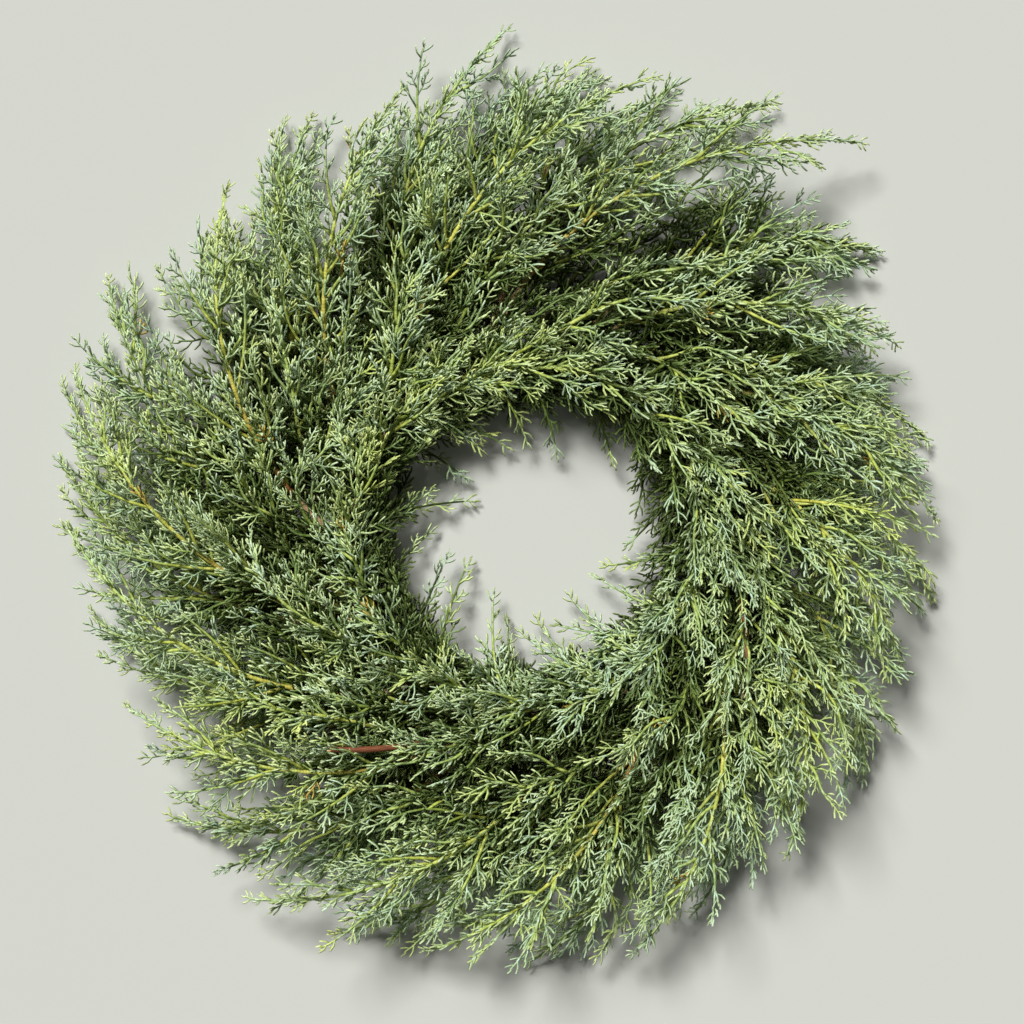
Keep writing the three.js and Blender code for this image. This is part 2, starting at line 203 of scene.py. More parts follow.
# plumes that reach over the hole: [clock angle, radius, height] of each tip
RIM_TIPS = [
    (342, 63, 14), (356, 66, 18), (15, 60, 16), (43, 73, 20), (60, 78, 22), (72, 72, 14), (90, 66, 18),
    (98, 76, 26), (108, 56, 14), (121, 53, 20), (146, 50, 16), (158, 61, 22), (173, 57, 16), (181, 64, 24),
    (194, 60, 14), (210, 48, 18), (244, 46, 12), (252, 58, 18), (270, 67, 12), (291, 72, 18), (299, 47, 8),
    (312, 61, 12), (328, 70, 20),
]
# how much deeper in shade the slope round the hole lies, at each of HOLE_EDGE's clock angles: shade that is
# painted on its foliage, and that keeps its plumes lower
SLOPE_SHADE = [8, 20, 17, 12, 4, 1, 7, 12, 18, 20, 20, 4]
# [radius, height] that no filling plume's tip rises above, from the hole to the crown
SHOULDER = ([58, 72, 84, 96, 110, 126], [10, 16, 27, 40, 56, 80])
SHOULDER_DROP = (1.1, 0.66)  # how far up the shoulder they may reach, from the lit to the shaded slope
HIGHEST_TIP = 78
INNER_SPAN = 275
OUTER_REACH = 0.5  # reaches above this are shares of the outline
AGE_SPAN = 220  # the growth map's height stands for so many millimetres from a shoot's tip
TONE_SPAN = 0.03  # the share of the growth map's width that runs once round a shoot

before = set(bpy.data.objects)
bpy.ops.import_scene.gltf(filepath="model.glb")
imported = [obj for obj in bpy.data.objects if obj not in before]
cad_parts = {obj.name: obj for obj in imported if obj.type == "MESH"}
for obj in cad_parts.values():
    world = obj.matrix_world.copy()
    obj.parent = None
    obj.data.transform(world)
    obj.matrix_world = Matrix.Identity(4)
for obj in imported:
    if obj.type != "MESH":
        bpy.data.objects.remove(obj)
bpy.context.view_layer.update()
ring_low, ring_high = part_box("wire_frame")
RING_X = (ring_low[0] + ring_high[0]) / 2 / MM
RING_Y = (ring_low[1] + ring_high[1]) / 2 / MM
RING_CENTRE = np.array((RING_X, RING_Y, 0.0))


# ---------------------------------------------------------------- places and paths
def mix(a, b, share):
    return a + (b - a) * share


def at(clock, radius, height):
    angle = math.radians(clock)
    return np.array((radius * math.sin(angle), radius * math.cos(angle), height))


def clamped(value):
    return min(max(value, 0), 1)


def cross(a, b):
    return np.array((a[1] * b[2] - a[2] * b[1], a[2] * b[0] - a[0] * b[2], a[0] * b[1] - a[1] * b[0]))


def size_of(v):
    return math.sqrt(v[0] * v[0] + v[1] * v[1] + v[2] * v[2])


def unit(v):
    return v / size_of(v)


UP = np.array((0.0, 0.0, 1.0))


def tie_clock(bunch):
    return FIRST_TIE + bunch * BUNCH_PITCH


def chance(a, b, c, d):
    """A number from 0 to 1 that looks random and is always the same for the same four counts."""
    wave = math.sin(a * 12.9898 + b * 78.233 + c * 37.719 + d * 4.581) * 43758.5453
    return wave - math.floor(wave)


def varied(least, span, drawn):
    """A number drawn from the least one upwards."""
    return least + span * drawn


def bulging(most, share):
    """A bulge over a sprig: nothing at both of its ends, and the most halfway."""
    return most * 4 * share * (1 - share)


def arching(most, share):
    """An arch over a sprig: nothing at both of its ends, and the most at two thirds."""
    return most * 6.75 * share**2 * (1 - share)


def swaying(phase, share):
    """A sway that starts from nothing, with one full wave over a share of 1."""
    return math.sin(math.tau * (phase + share)) - math.sin(math.tau * phase)


def length_of(line):
    return sum(size_of(b - a) for a, b in zip(line, line[1:]))


def sprig_path(tier, bunch):
    """The middle line of a sprig: share 0 is the tie, 1 the tip, and below 0 the cut butt."""
    tip_clock, reach = tier["tips"][bunch]
    aside, stem_height, _ = tier["stem"]
    start = TIE_RADIUS + aside

    def path(share):
        ahead = max(share, 0)
        outward = BUTT_SPREAD * share if share < 0 else share
        radius = mix(start, reach, outward) + bulging(tier["bulge"], ahead)
        height = mix(stem_height, tier["tip_height"], ahead**2) + arching(tier["crest"], ahead)
        return at(mix(tie_clock(bunch), tip_clock, share), radius, height)

    return path


def polyline(corners, start, end):
    """The path that runs straight from corner to corner, the first at one share and the last at another."""
    last = len(corners) - 1

    def path(share):
        place = last * (share - start) / (end - start)
        k = min(max(math.floor(place), 0), last - 1)
        return mix(corners[k], corners[k + 1], place - k)

    return path


def heading_of(path, share):
    """Which way a path runs at a share of it, with the level direction to its left and the one above it."""
    step = 0.01
    along = unit(path(share + step) - path(share - step))
    left = unit(cross(UP, along))
    return along, left, cross(along, left)


def shoot_path(root, heading, angle, roll, length, bend, wander=0.0, phase=0.0):
    """A side shoot's path: it leaves its parent at an angle and bends towards the parent's own heading."""
    along, left, above = heading
    side = left * math.cos(math.radians(roll)) + above * math.sin(math.radians(roll))
    out = along * math.cos(math.radians(angle)) + side * math.sin(math.radians(angle))
    turn = (along - out) * bend
    aside = cross(UP, out) * wander

    def path(share):
        sway = aside * (length * swaying(phase, share))
        return root + out * (length * share) + turn * (length * share**2) + sway

    return path


def leader_of(tier, bunch):
    """A leader's path, the share at which it starts, and its straight-sided version."""
    path = sprig_path(tier, bunch)
    start = WOODY_SHARE + TOUCHING_GAP / size_of(path(1) - path(0))
    corners = [path(mix(start, 1, k / LEADER_STEPS)) for k in range(LEADER_STEPS + 1)]
    return path, start, polyline(corners, start, 1)


# ---------------------------------------------------------------- keeping fronds clear of each other
class Crowd:
    """Every placed rod as a row of balls, with the stem, wire or spray that it belongs to."""

    def __init__(self, room):
        self.places = np.zeros((room, 3))
        self.radii = np.zeros(room)
        self.owners = np.zeros(room, dtype=int)
        self.count = 0

    def add(self, row, owner):
        places, radii = row
        end = self.count + len(places)
        self.places[self.count : end] = places
        self.radii[self.count : end] = radii
        self.owners[self.count : end] = owner
        self.count = end

    def is_clear(self, row, root, owner):
        """True if a row of beads stays off the surface and misses every bead, but its own near its root."""
        places, radii = row
        if (places[:, 2] - radii < LOWEST_FOLIAGE).any():
            return False
        known = self.places[: self.count]
        low, high = places.min(0) - ROOT_ROOM, places.max(0) + ROOT_ROOM
        near = ((known > low) & (known < high)).all(1)
        beads, radii_near = known[near], self.radii[: self.count][near]
        own_root = (self.owners[: self.count][near] == owner) & (
            np.linalg.norm(beads - root, axis=1) <= ROOT_ROOM
        )
        beads, radii_near = beads[~own_root], radii_near[~own_root]
        room = radii[:, None] + radii_near[None] + FOLIAGE_GAP
        apart = ((places[:, None] - beads[None]) ** 2).sum(2)
        return bool((apart > room**2 + BEAD_PITCH**2 / 2).all())


def row_of_beads(path, start, end, radius_at):
    span = size_of(path(end) - path(start))
    count = max(2, math.ceil(span / BEAD_PITCH))
    shares = [k / count for k in range(count + 1)]
    places = np.array([path(mix(start, end, share)) for share in shares])
    return places, np.array([radius_at(share) for share in shares])


def binding_route():
    """The wire's corner points: two turns round the ring and the stems at each tie, then on to the next."""
    clearance = TOUCHING_GAP + 1.5 * BINDING_RADIUS
    reach = RAIL_RADIUS + clearance
    side = RAIL_HEIGHT + WRAP_UPWARDS * reach
    under = RAIL_HEIGHT - reach
    _, stem_height, stem_radius = TIERS[1]["stem"]
    over = stem_height + stem_radius + clearance
    turn = [
        (INNER_RAIL - WRAP_INWARDS * reach, under),
        (INNER_RAIL - WRAP_BESIDE * reach, side),
        (TIE_RADIUS - BUNDLE_HALF_WIDTH, over),
        (TIE_RADIUS + BUNDLE_HALF_WIDTH, over),
        (OUTER_RAIL + WRAP_BESIDE * reach, side),
        (OUTER_RAIL + WRAP_INWARDS * reach, under),
    ]
    route = []
    for bunch in range(BUNCHES):
        for k in range(TURNS_PER_TIE * len(turn) + 1):
            radius, height = turn[k % len(turn)]
            slant = (k / len(turn) - TURNS_PER_TIE / 2) * TURN_PITCH
            route.append(at(tie_clock(bunch) + math.degrees(slant / TIE_RADIUS), radius, height))
    return route


def stretch_between(a, b):
    return lambda share: mix(a, b, share)


OWNERS = ["ring", "binding"]
OWNERS += [f"stems_{bunch}" for bunch in range(BUNCHES)]
OWNERS += [f"{tier['name']}_{bunch}" for tier in TIERS for bunch in range(BUNCHES)]


def enter_fixed_pieces(crowd):
    """Enters the ring, the binding wire, the stems and every leader before any shoot is placed."""
    for radius in (INNER_RAIL, OUTER_RAIL):
        for k in range(BUNCHES):
            arc = lambda share, radius=radius: at(360 * share, radius, RAIL_HEIGHT)
            row = row_of_beads(arc, k / BUNCHES, (k + 1) / BUNCHES, lambda share: RAIL_RADIUS)
            crowd.add(row, OWNERS.index("ring"))
    route = binding_route()
    for a, b in zip(route, route[1:]):
        row = row_of_beads(stretch_between(a, b), 0, 1, lambda share: BINDING_RADIUS)
        crowd.add(row, OWNERS.index("binding"))
    for bunch in range(BUNCHES):
        for tier in TIERS:
            path, start, line = leader_of(tier, bunch)
            stem_radius = tier["stem"][2]
            stem = row_of_beads(
                path, -BUTT_SHARE, WOODY_SHARE, lambda share: mix(stem_radius, STEM_END_RADIUS, share)
            )
            crowd.add(stem, OWNERS.index(f"stems_{bunch}"))
            leader = row_of_beads(
                line, start, 1, lambda share: mix(STEM_END_RADIUS, LEADER_TIP_RADIUS, share)
            )
            crowd.add(leader, OWNERS.index(f"{tier['name']}_{bunch}"))


def half_stalk(along, length):
    return STALK_WIDTH / 2 * (1 - STALK_TAPER * along / length)


def enter_clear_twigs(crowd, count, path, length, tilt, seed, owner):
    """Enters the side twigs of a frond that miss every other piece, at full length or shortened."""
    turn = math.radians(tilt)

    def place(along, across):
        _, left, above = heading_of(path, along / length)
        return path(along / length) + (left * math.cos(turn) + above * math.sin(turn)) * across

    base = TWIG_WIDTH / math.sin(math.radians(TWIG_ANGLE))
    for k in range(count):
        root = length * mix(*TWIG_SHARES, (k + TWIG_SCATTER * chance(seed, k, 3, 1)) / count)
        side = 1 if (k + seed) % 2 else -1
        for share in TWIG_LENGTHS:
            reach = TWIG_LENGTH * share * varied(*TWIG_VARIES, chance(seed, k, 5, 2))
            tip = root + base / 2 + reach * math.cos(math.radians(TWIG_ANGLE))
            edge = half_stalk(root, length)
            start = place(root, side * edge)
            end = place(tip, side * (edge + reach * math.sin(math.radians(TWIG_ANGLE))))
            row = row_of_beads(stretch_between(start, end), TWIG_FREE_FROM, 1, lambda share: TWIG_WIDTH / 2)
            if crowd.is_clear(row, start, owner):
                crowd.add(row, owner)
                break


def clear_frond(crowd, tier, bunch, k, leader, owner):
    """One frond of a spray, at the first roll and length that fit, or None."""
    first, last, lift, scatter = tier["fronds"]
    twigs = tier["twigs"]
    seed = bunch * 8 + k + TIERS.index(tier) * 120
    place = (k + FROND_SCATTER * chance(seed, 1, 1, 1)) / (len(twigs) - 1 + FROND_SCATTER)
    share = mix(FIRST_FROND, LAST_FROND, place)
    full = mix(first, last, k / (len(twigs) - 1)) * varied(*FROND_VARIES, chance(seed, 2, 2, 2))
    raised = lift + scatter * (2 * chance(seed, 3, 3, 3) - 1)
    wanted = raised if k % 2 else 180 - raised
    path, _, line = leader
    heading, root = heading_of(path, share), line(share)
    farthest = max(tier["tips"][bunch][1] - TIP_INSET, OUTER_RAIL)
    for shorter in FROND_LENGTHS:
        length = full * shorter
        for attempt in range(ROLL_TRIES):
            roll = wanted + (1 if attempt % 2 else -1) * math.ceil(attempt / 2) * ROLL_STEP
            shoot = shoot_path(root, heading, FROND_ANGLE, roll, length, FROND_BEND)
            tip = shoot(1)
            radius = math.hypot(tip[0], tip[1])
            row = row_of_beads(shoot, FROND_FREE_FROM, 1, lambda share: STALK_WIDTH / 2)
            if radius < HOLE_RADIUS or radius > farthest or not crowd.is_clear(row, root, owner):
                continue
            crowd.add(row, owner)
            tilt = FROND_TILT * (2 * chance(seed, 4, 4, 4) - 1)
            enter_clear_twigs(crowd, twigs[k], shoot, length, tilt, seed, owner)
            return {"path": shoot, "length": length, "tilt": tilt, "seed": seed}
    return None


def placed_fronds():
    """The main fronds of every spray, by tier and bunch, each clear of all the others."""
    crowd = Crowd(MOST_BEADS)
    enter_fixed_pieces(crowd)
    fronds = {}
    for tier in TIERS:
        for bunch in range(BUNCHES):
            owner = OWNERS.index(f"{tier['name']}_{bunch}")
            leader = leader_of(tier, bunch)
            found = [clear_frond(crowd, tier, bunch, k, leader, owner) for k in range(len(tier["twigs"]))]
            fronds[tier["name"], bunch] = [frond for frond in found if frond]
    return fronds


def read_round(values, step, clock):
    """A value from a table that runs round the clock."""
    place = (clock % 360) / step
    k = math.floor(place)
    return mix(values[k % len(values)], values[(k + 1) % len(values)], place - k)


def outline_at(clock):
    """How far the foliage reaches at a clock angle."""
    return read_round(OUTLINE, OUTLINE_STEP, clock)


def clock_of(place):
    return math.degrees(math.atan2(place[0], place[1]))


def keeps_inside(tip, hole_margin, outline_margin):
    """True where a tip stays out of the hole, off the surface and within the outline, by the margins."""
    radius, clock = math.hypot(tip[0], tip[1]), clock_of(tip)
    nearest = read_round(HOLE_EDGE, HOLE_STEP, clock) + hole_margin
    farthest = outline_at(clock) - outline_margin
    return nearest < radius < farthest and LOWEST_FOLIAGE < tip[2] < HIGHEST_TIP


# ---------------------------------------------------------------- plumes and sprigs that fill the sprays out
PLUME_SHARES = (0.04, 0.88)  # the stretch of a sprig that carries its plumes
PLUME_SCATTER = 0.7
PLUME_LENGTHS = (0.7, 1.25)  # how short and how long a plume may be, against the others at its place
PLUME_LIFT = (-40, 38)  # how far above the side of its leader it leaves, in degrees
PLUME_BEND = (0.05, 0.6)  # how far it turns towards its leader's own heading
PLUME_TILT = 60
PLUME_TRIES = (1, 0.75, 0.5)  # the shares of its length that are tried until its tip fits
PLUME_CLEARANCE = (0.6, 3)  # at this share of its length, it has to be so high off the floor
WANDER = 0.045  # how far a plume sways off its line, as a share of its length
OUTER_INSET = (0, 40)  # how far the filling plumes stay inside the outline, from the boldest on
HOLE_INSET = (-3, 14)  # how far they stay outside the hole's edge, from the boldest on

RIM_START = 0.36  # the share of an inner leader from which rim plumes leave it
RIM_LEAD = (10, 42)  # how far back on the clock a rim plume leaves its leader
RIM_AHEAD = 0.35  # how far it follows its leader first, as a share of its length
RIM_DROP = 6
RIM_TILT = 40
RIM_FULLNESS = 0.8
RIM_PITCH = 4.4
RIM_SEED = 900

SPRIG_CLOCKS = (7, 13)  # how far the root and the tip of a sprig in between vary round the clock
SPRIG_SWAY = 5
SPRIG_WAVES = 1.2
SPRIG_VARIES = (0.94, 0.12)
SPRIG_RISE = (0.65, 1.15)
SPRIG_INSET = 9


def filling_plumes(path, line, filling, angles, seed, first_share=PLUME_SHARES[0]):
    """The smaller plumes all round a leader, each kept within the wreath's outline."""
    count, first, last = filling
    checked, clearance = PLUME_CLEARANCE
    plumes = []
    for k in range(count):
        key = seed + k
        share = mix(first_share, PLUME_SHARES[1], (k + PLUME_SCATTER * chance(key, 1, 2, 3)) / count)
        length = mix(first, last, k / (count - 1)) * mix(*PLUME_LENGTHS, chance(key, 2, 3, 1))
        raised = mix(*PLUME_LIFT, chance(key, 3, 1, 2))
        roll = raised if k % 2 else 180 - raised
        angle = mix(*angles, chance(key, 4, 1, 2))
        bend = mix(*PLUME_BEND, chance(key, 6, 1, 2))
        phase = chance(key, 9, 1, 2)
        inset = mix(*HOLE_INSET, chance(key, 7, 1, 2) ** 0.5)
        outer_inset = mix(*OUTER_INSET, chance(key, 8, 1, 2))
        for shorter in PLUME_TRIES:
            reach = length * shorter
            shoot = shoot_path(line(share), heading_of(path, share), angle, roll, reach, bend, WANDER, phase)
            tip = shoot(1)
            shoulder = np.interp(math.hypot(tip[0], tip[1]), *SHOULDER)
            slope_shade = read_round(SLOPE_SHADE, HOLE_STEP, clock_of(tip))
            low_enough = tip[2] < shoulder * mix(*SHOULDER_DROP, slope_shade / max(SLOPE_SHADE))
            if keeps_inside(tip, inset, outer_inset) and low_enough and shoot(checked)[2] > clearance:
                tilt = PLUME_TILT * (2 * chance(key, 5, 4, 4) - 1)
                plumes.append({"path": shoot, "length": reach, "tilt": tilt, "seed": key})
                break
    return plumes


def rim_path(root, along, tip, length):
    """A path that leaves a leader along its heading, and bends away and down to a tip over the hole."""
    corner = root + along * (RIM_AHEAD * length) - UP * RIM_DROP
    return lambda share: mix(mix(root, corner, share), mix(corner, tip, share), share)


def rim_plumes(tier, bunch):
    """The plumes of an inner spray that run off its leader, inwards and down, to tips over the hole."""
    path, _, line = leader_of(tier, bunch)
    first, last = tie_clock(bunch), tier["tips"][bunch][0]
    plumes = []
    for k, (clock, radius, height) in enumerate(RIM_TIPS):
        lead = mix(*RIM_LEAD, chance(k, 5, 6, 7))
        share = ((clock - lead - first + 90) % 360 - 90) / (last - first)
        if not RIM_START <= share < RIM_START + BUNCH_PITCH / (last - first):
            continue
        root, tip = line(share), at(clock, radius, height)
        length = size_of(tip - root)
        plumes.append({
            "path": rim_path(root, heading_of(path, share)[0], tip, length),
            "length": length,
            "tilt": RIM_TILT * (chance(k, 5, 4, 4) - 0.5),
            "seed": RIM_SEED + k,
            "past_hole": read_round(HOLE_EDGE, HOLE_STEP, clock) - radius,
            "fullness": RIM_FULLNESS,
            "pitch": RIM_PITCH,
        })
    return plumes


def sprig_between(shape, bunch):
    """The middle line of one of the shorter sprigs that are tied in between the main ones."""
    past, start_radius, start_height = shape["start"]
    root_varies, tip_varies = SPRIG_CLOCKS
    start_clock = tie_clock(bunch) + past + root_varies * (chance(bunch, past, 2, 9) - 0.5)
    tip_clock = start_clock + shape["ahead"] + tip_varies * (chance(bunch, past, 3, 9) - 0.5)
    outline = outline_at(tip_clock)
    wanted = shape["reach"] * (outline if shape["reach"] > OUTER_REACH else INNER_SPAN)
    reach = min(wanted * varied(*SPRIG_VARIES, chance(bunch, past, 4, 9)), outline - SPRIG_INSET)
    rise = mix(*SPRIG_RISE, chance(bunch, past, 5, 9))
    phase = chance(bunch, past, 6, 9)

    def path(share):
        ahead = max(share, 0)
        sway = SPRIG_SWAY * swaying(phase, SPRIG_WAVES * share)
        radius = mix(start_radius, reach, share) + bulging(shape["bulge"], ahead) + sway
        arch = arching(shape["crest"], ahead) * rise
        height = mix(start_height, shape["tip_height"] * rise, ahead**2) + arch
        return at(mix(start_clock, tip_clock, share), radius, height)

    return path


# ---------------------------------------------------------------- modelling by hand
def deselect_all():
    bpy.ops.object.select_all(action="DESELECT")


def make_active(piece):
    deselect_all()
    piece.select_set(True)
    bpy.context.view_layer.objects.active = piece


def in_millimetres(stations):
    return [(place * MM, radius * MM) for place, radius in stations]


def on_one_metre(stations):
    """Stations of a model one metre long: places as shares of its length, radii in millimetres."""
    return [(place, radius * MM) for place, radius in stations]


def extruded_shoot(name, sides, stations):
    """A closed rod along +X: a flat polygon extruded from station to station, each (place, radius)."""
    deselect_all()
    bpy.ops.mesh.primitive_circle_add(
        vertices=sides, radius=stations[0][1], fill_type="NGON", calc_uvs=False, rotation=(0, math.pi / 2, 0)
    )
    shoot = bpy.context.active_object
    shoot.name = name
    bpy.ops.object.mode_set(mode="EDIT")
    bpy.ops.mesh.select_all(action="SELECT")
    for (x0, r0), (x1, r1) in zip(stations, stations[1:]):
        bpy.ops.mesh.extrude_region_move(TRANSFORM_OT_translate={"value": (x1 - x0, 0, 0)})
        if r1 > 0:
            bpy.ops.transform.resize(value=(1, r1 / r0, r1 / r0), center_override=(x1, 0, 0))
        else:
            bpy.ops.mesh.merge(type="CENTER")
    bpy.ops.mesh.select_all(action="SELECT")
    bpy.ops.mesh.normals_make_consistent(inside=False)
    bpy.ops.object.mode_set(mode="OBJECT")
    bpy.ops.object.transform_apply(location=True, rotation=True, scale=True)
    bpy.ops.object.shade_smooth()
    return shoot


ON_AXIS = 1e-7  # a tip that lies this near the axis has no turn of its own


def chart_growth(shoot, length, span=TONE_SPAN):
    """Gives a straight shoot its growth map: across, once round the shoot; up, the distance from its tip."""
    mesh = shoot.data
    layer = mesh.uv_layers.new(name="growth")
    for face in mesh.polygons:
        corners = {loop: mesh.vertices[mesh.loops[loop].vertex_index].co for loop in face.loop_indices}
        turns = {
            loop: (math.atan2(corner.z, corner.y) / math.tau) % 1
            for loop, corner in corners.items()
            if math.hypot(corner.y, corner.z) > ON_AXIS
        }
        if max(turns.values()) - min(turns.values()) > 0.5:
            turns = {loop: turn + 1 if turn < 0.5 else turn for loop, turn in turns.items()}
        middle = sum(turns.values()) / len(turns)
        for loop, corner in corners.items():
            layer.data[loop].uv = (span * turns.get(loop, middle), (length - corner.x) / (AGE_SPAN * MM))
    return shoot


def shift_growth(mesh, tone, age_scale=1.0, age=0.0):
    """Moves a copy's growth map to its own tone and age, and stretches it to its own length."""
    layer = mesh.uv_layers["growth"]
    uv = np.empty(2 * len(mesh.loops), dtype=np.float32)
    layer.data.foreach_get("uv", uv)
    uv[0::2] += tone
    uv[1::2] = uv[1::2] * age_scale + age
    layer.data.foreach_set("uv", uv)


def copy_of(model, matrix=None):
    """A copy of a model with its own mesh, moved to its place in the mesh itself."""
    copy = model.copy()
    copy.data = model.data.copy()
    if matrix is not None:
        copy.data.transform(matrix)
    return copy


def link(piece):
    bpy.context.collection.objects.link(piece)
    return piece


def join(parts, name):
    deselect_all()
    for part in parts:
        if not part.users_collection:
            link(part)
        part.select_set(True)
    bpy.context.view_layer.objects.active = parts[0]
    if len(parts) > 1:
        bpy.ops.object.join()
    whole = bpy.context.active_object
    whole.name = name
    whole.data.name = name
    return whole


def remove(things):
    for thing in things:
        bpy.data.objects.remove(thing, do_unlink=True)


def basis(x, y, z, place):
    """The matrix that takes a model's axes onto three directions at a place."""
    rows = [(x[i], y[i], z[i], place[i]) for i in range(3)]
    return Matrix(rows + [(0, 0, 0, 1)])


def curve_through(points, name):
    """A curve object that runs straight from point to point."""
    data = bpy.data.curves.new(name, "CURVE")
    data.dimensions = "3D"
    spline = data.splines.new("POLY")
    spline.points.add(len(points) - 1)
    for point, place in zip(spline.points, points):
        point.co = (*((place + RING_CENTRE) * MM), 1)
    return link(bpy.data.objects.new(name, data))


def bent_along(model, points, name):
    """A copy of a straight model, bent along the points of a path by a curve modifier."""
    guide = curve_through(points, "guide")
    guide.data.use_stretch = True
    guide.data.use_deform_bounds = True
    guide.data.twist_mode = "Z_UP"
    shoot = link(copy_of(model))
    shoot.name = name
    make_active(shoot)
    bend = shoot.modifiers.new("bend", "CURVE")
    bend.object = guide
    bend.deform_axis = "POS_X"
    bpy.ops.object.modifier_apply(modifier=bend.name)
    guide_data = guide.data
    bpy.data.objects.remove(guide, do_unlink=True)
    bpy.data.curves.remove(guide_data)
    return shoot


def finished(piece, materials, slot, *nodes):
    """Gives a finished piece its bake map, its materials and its body, and hides the nodes it stands for;
    slot is not used.
    """
    mesh = piece.data
    if materials:
        mesh.materials.clear()
    for material in materials:
        mesh.materials.append(material)
    if "growth" in mesh.uv_layers:
        mesh.uv_layers.active = mesh.uv_layers["growth"]
        mesh.uv_layers.new(name="OFBake", do_init=True)
    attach(piece, "root")
    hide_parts(*nodes)
    return piece


# ---------------------------------------------------------------- branchlets
TWIGLET_LENGTH = 10
TWIGLET_STATIONS = [(0, 0.55), (0.48, 0.7), (0.88, 0.67), (1, 0)]  # [share of its length, radius]
TWIGLET_SIDES = 3
TWIGLET_CURVE = 32
TWIGLET_SPREAD = (60, 42)
TWIGLET_RISE = 20
TWIGLET_SCATTER = 0.4
FIRST_TWIGLET = 2.2
LAST_TWIGLET = 0.86
# how long twiglets are, as a share of the longest, at each share of the branchlet
TWIGLET_REACH = ((0, 0.3, 1), (0.82, 1, 0.48))
TWIGLET_VARIETY = (0.86, 1.1)
FORKED_SHARE = 0.16
SHORTEST_FORKED = 6
FORK_REACH = 0.42
FORK_AT = 0.45
FORK_ANGLE = 36
BRANCHLET_ROOT = 0.72
BRANCHLET_MIDDLE = (0.45, 0.74)
BRANCHLET_SHOULDER = (1.3, 0.68)  # how far from its tip, and its radius there
# how far a branchlet curls over, in degrees, and for each model of it: its length, how many twiglets it
# has, and the longest of them
BRANCHLETS = {
    "sprout": (24, [(9, 2, 6), (8, 2, 5.4), (9, 3, 6)]),
    "short": (24, [(13, 4, 9), (12, 3, 9.2), (14, 4, 9.6), (13, 4, 8.6)]),
    "middle": (32, [(20, 6, 11.4), (19, 5, 12.2), (22, 6, 11.2)]),
    "long": (42, [(29, 8, 13.2), (28, 7, 14), (31, 8, 12.8)]),
}


def twiglet_model():
    """The shortest shoot, ten millimetres long: three-sided, curved, and blunt at its tip."""
    stations = [(share * TWIGLET_LENGTH, radius) for share, radius in TWIGLET_STATIONS]
    shoot = extruded_shoot("twiglet", TWIGLET_SIDES, in_millimetres(stations))
    return curled(chart_growth(shoot, TWIGLET_LENGTH * MM), TWIGLET_CURVE)


def curled(shoot, angle):
    """Bends a straight shoot in its own plane, towards -Y, through so many degrees."""
    make_active(shoot)
    curl = shoot.modifiers.new("curl", "SIMPLE_DEFORM")
    curl.deform_method = "BEND"
    curl.deform_axis = "Z"
    curl.angle = math.radians(-angle)
    bpy.ops.object.modifier_apply(modifier=curl.name)
    return shoot


def branchlet_axis(length):
    """The branchlet's own thread, a little stouter than its twiglets."""
    halfway, middle = BRANCHLET_MIDDLE
    from_tip, shoulder = BRANCHLET_SHOULDER
    stations = [(0, BRANCHLET_ROOT), (halfway * length, middle), (length - from_tip, shoulder), (length, 0)]
    shoot = extruded_shoot("axis", TWIGLET_SIDES, in_millimetres(stations))
    return chart_growth(shoot, length * MM)


def turned(degrees, axis):
    return Matrix.Rotation(math.radians(degrees), 4, axis)


def branchlet_model(name, key, bend, length, count, longest, twiglet):
    """A branchlet along +X: twiglets alternate on its axis, and it curls over towards -Y."""
    parts = [branchlet_axis(length)]

    def grow(root, turn, side, reach):
        stretch = reach / TWIGLET_LENGTH
        over = Matrix.Rotation(0 if side > 0 else math.pi, 4, "X")
        piece = copy_of(twiglet, Matrix.Translation(root) @ turn @ over @ Matrix.Diagonal((stretch, 1, 1, 1)))
        shift_growth(piece.data, 0, stretch)
        parts.append(piece)

    for k in range(count):
        share = (k + TWIGLET_SCATTER * chance(key, k, 1, 6)) / (count - 1 + TWIGLET_SCATTER)
        side = 1 if (k + key) % 2 else -1
        root = Vector((mix(FIRST_TWIGLET, LAST_TWIGLET * length, share) * MM, 0, 0))
        variety = mix(*TWIGLET_VARIETY, chance(key, k, 2, 6))
        reach = longest * np.interp(share, *TWIGLET_REACH) * variety
        rise = TWIGLET_RISE * mix(-1, 1, chance(key, k, 3, 6))
        turn = turned(side * mix(*TWIGLET_SPREAD, share), "Z") @ turned(rise, "Y")
        grow(root, turn, side, reach)
        if reach > SHORTEST_FORKED and chance(key, k, 4, 6) < FORKED_SHARE:
            fork = root + turn @ Vector((FORK_AT * reach * MM, 0, 0))
            grow(fork, turn @ turned(-side * FORK_ANGLE, "Z"), side, FORK_REACH * reach)
    return curled(join(parts, name), bend)


def branchlet_models():
    twiglet = twiglet_model()
    models = {}
    for size, (bend, shapes) in BRANCHLETS.items():
        models[size] = []
        for k, shape in enumerate(shapes):
            key = 10 * shape[0] + k
            models[size].append(branchlet_model(f"{size}_{k}", key, bend, *shape, twiglet))
    remove([twiglet])
    return models


# ---------------------------------------------------------------- the tone of the foliage, and the shade painted into it
# [clock angle, radius, spread, amount]: where the foliage is yellower (above 0) or bluer (below 0)
TONE_PATCHES = [
    (0, 95, 45, 0.28), (290, 92, 36, 0.34), (320, 125, 40, 0.14), (90, 232, 40, 0.2),
    (127, 195, 32, 0.24), (235, 225, 48, 0.3), (280, 225, 60, 0.2), (185, 140, 38, 0.16),
    (150, 90, 50, -0.14), (145, 225, 45, -0.16), (318, 285, 36, 0.3),
]
# tones, as the growth map's width: from the deepest painted shade to the yellowest in the light; those below
# LIT_TONE are painted shade
DEEPEST_TONE = 0.02
DEEP_TONE = 0.15
LIT_TONE = 0.19
PLAIN_TONE = 0.36
YELLOWEST_TONE = 0.95
LOOSE_TONE = 0.44  # how far single branchlets vary round the tone of their place
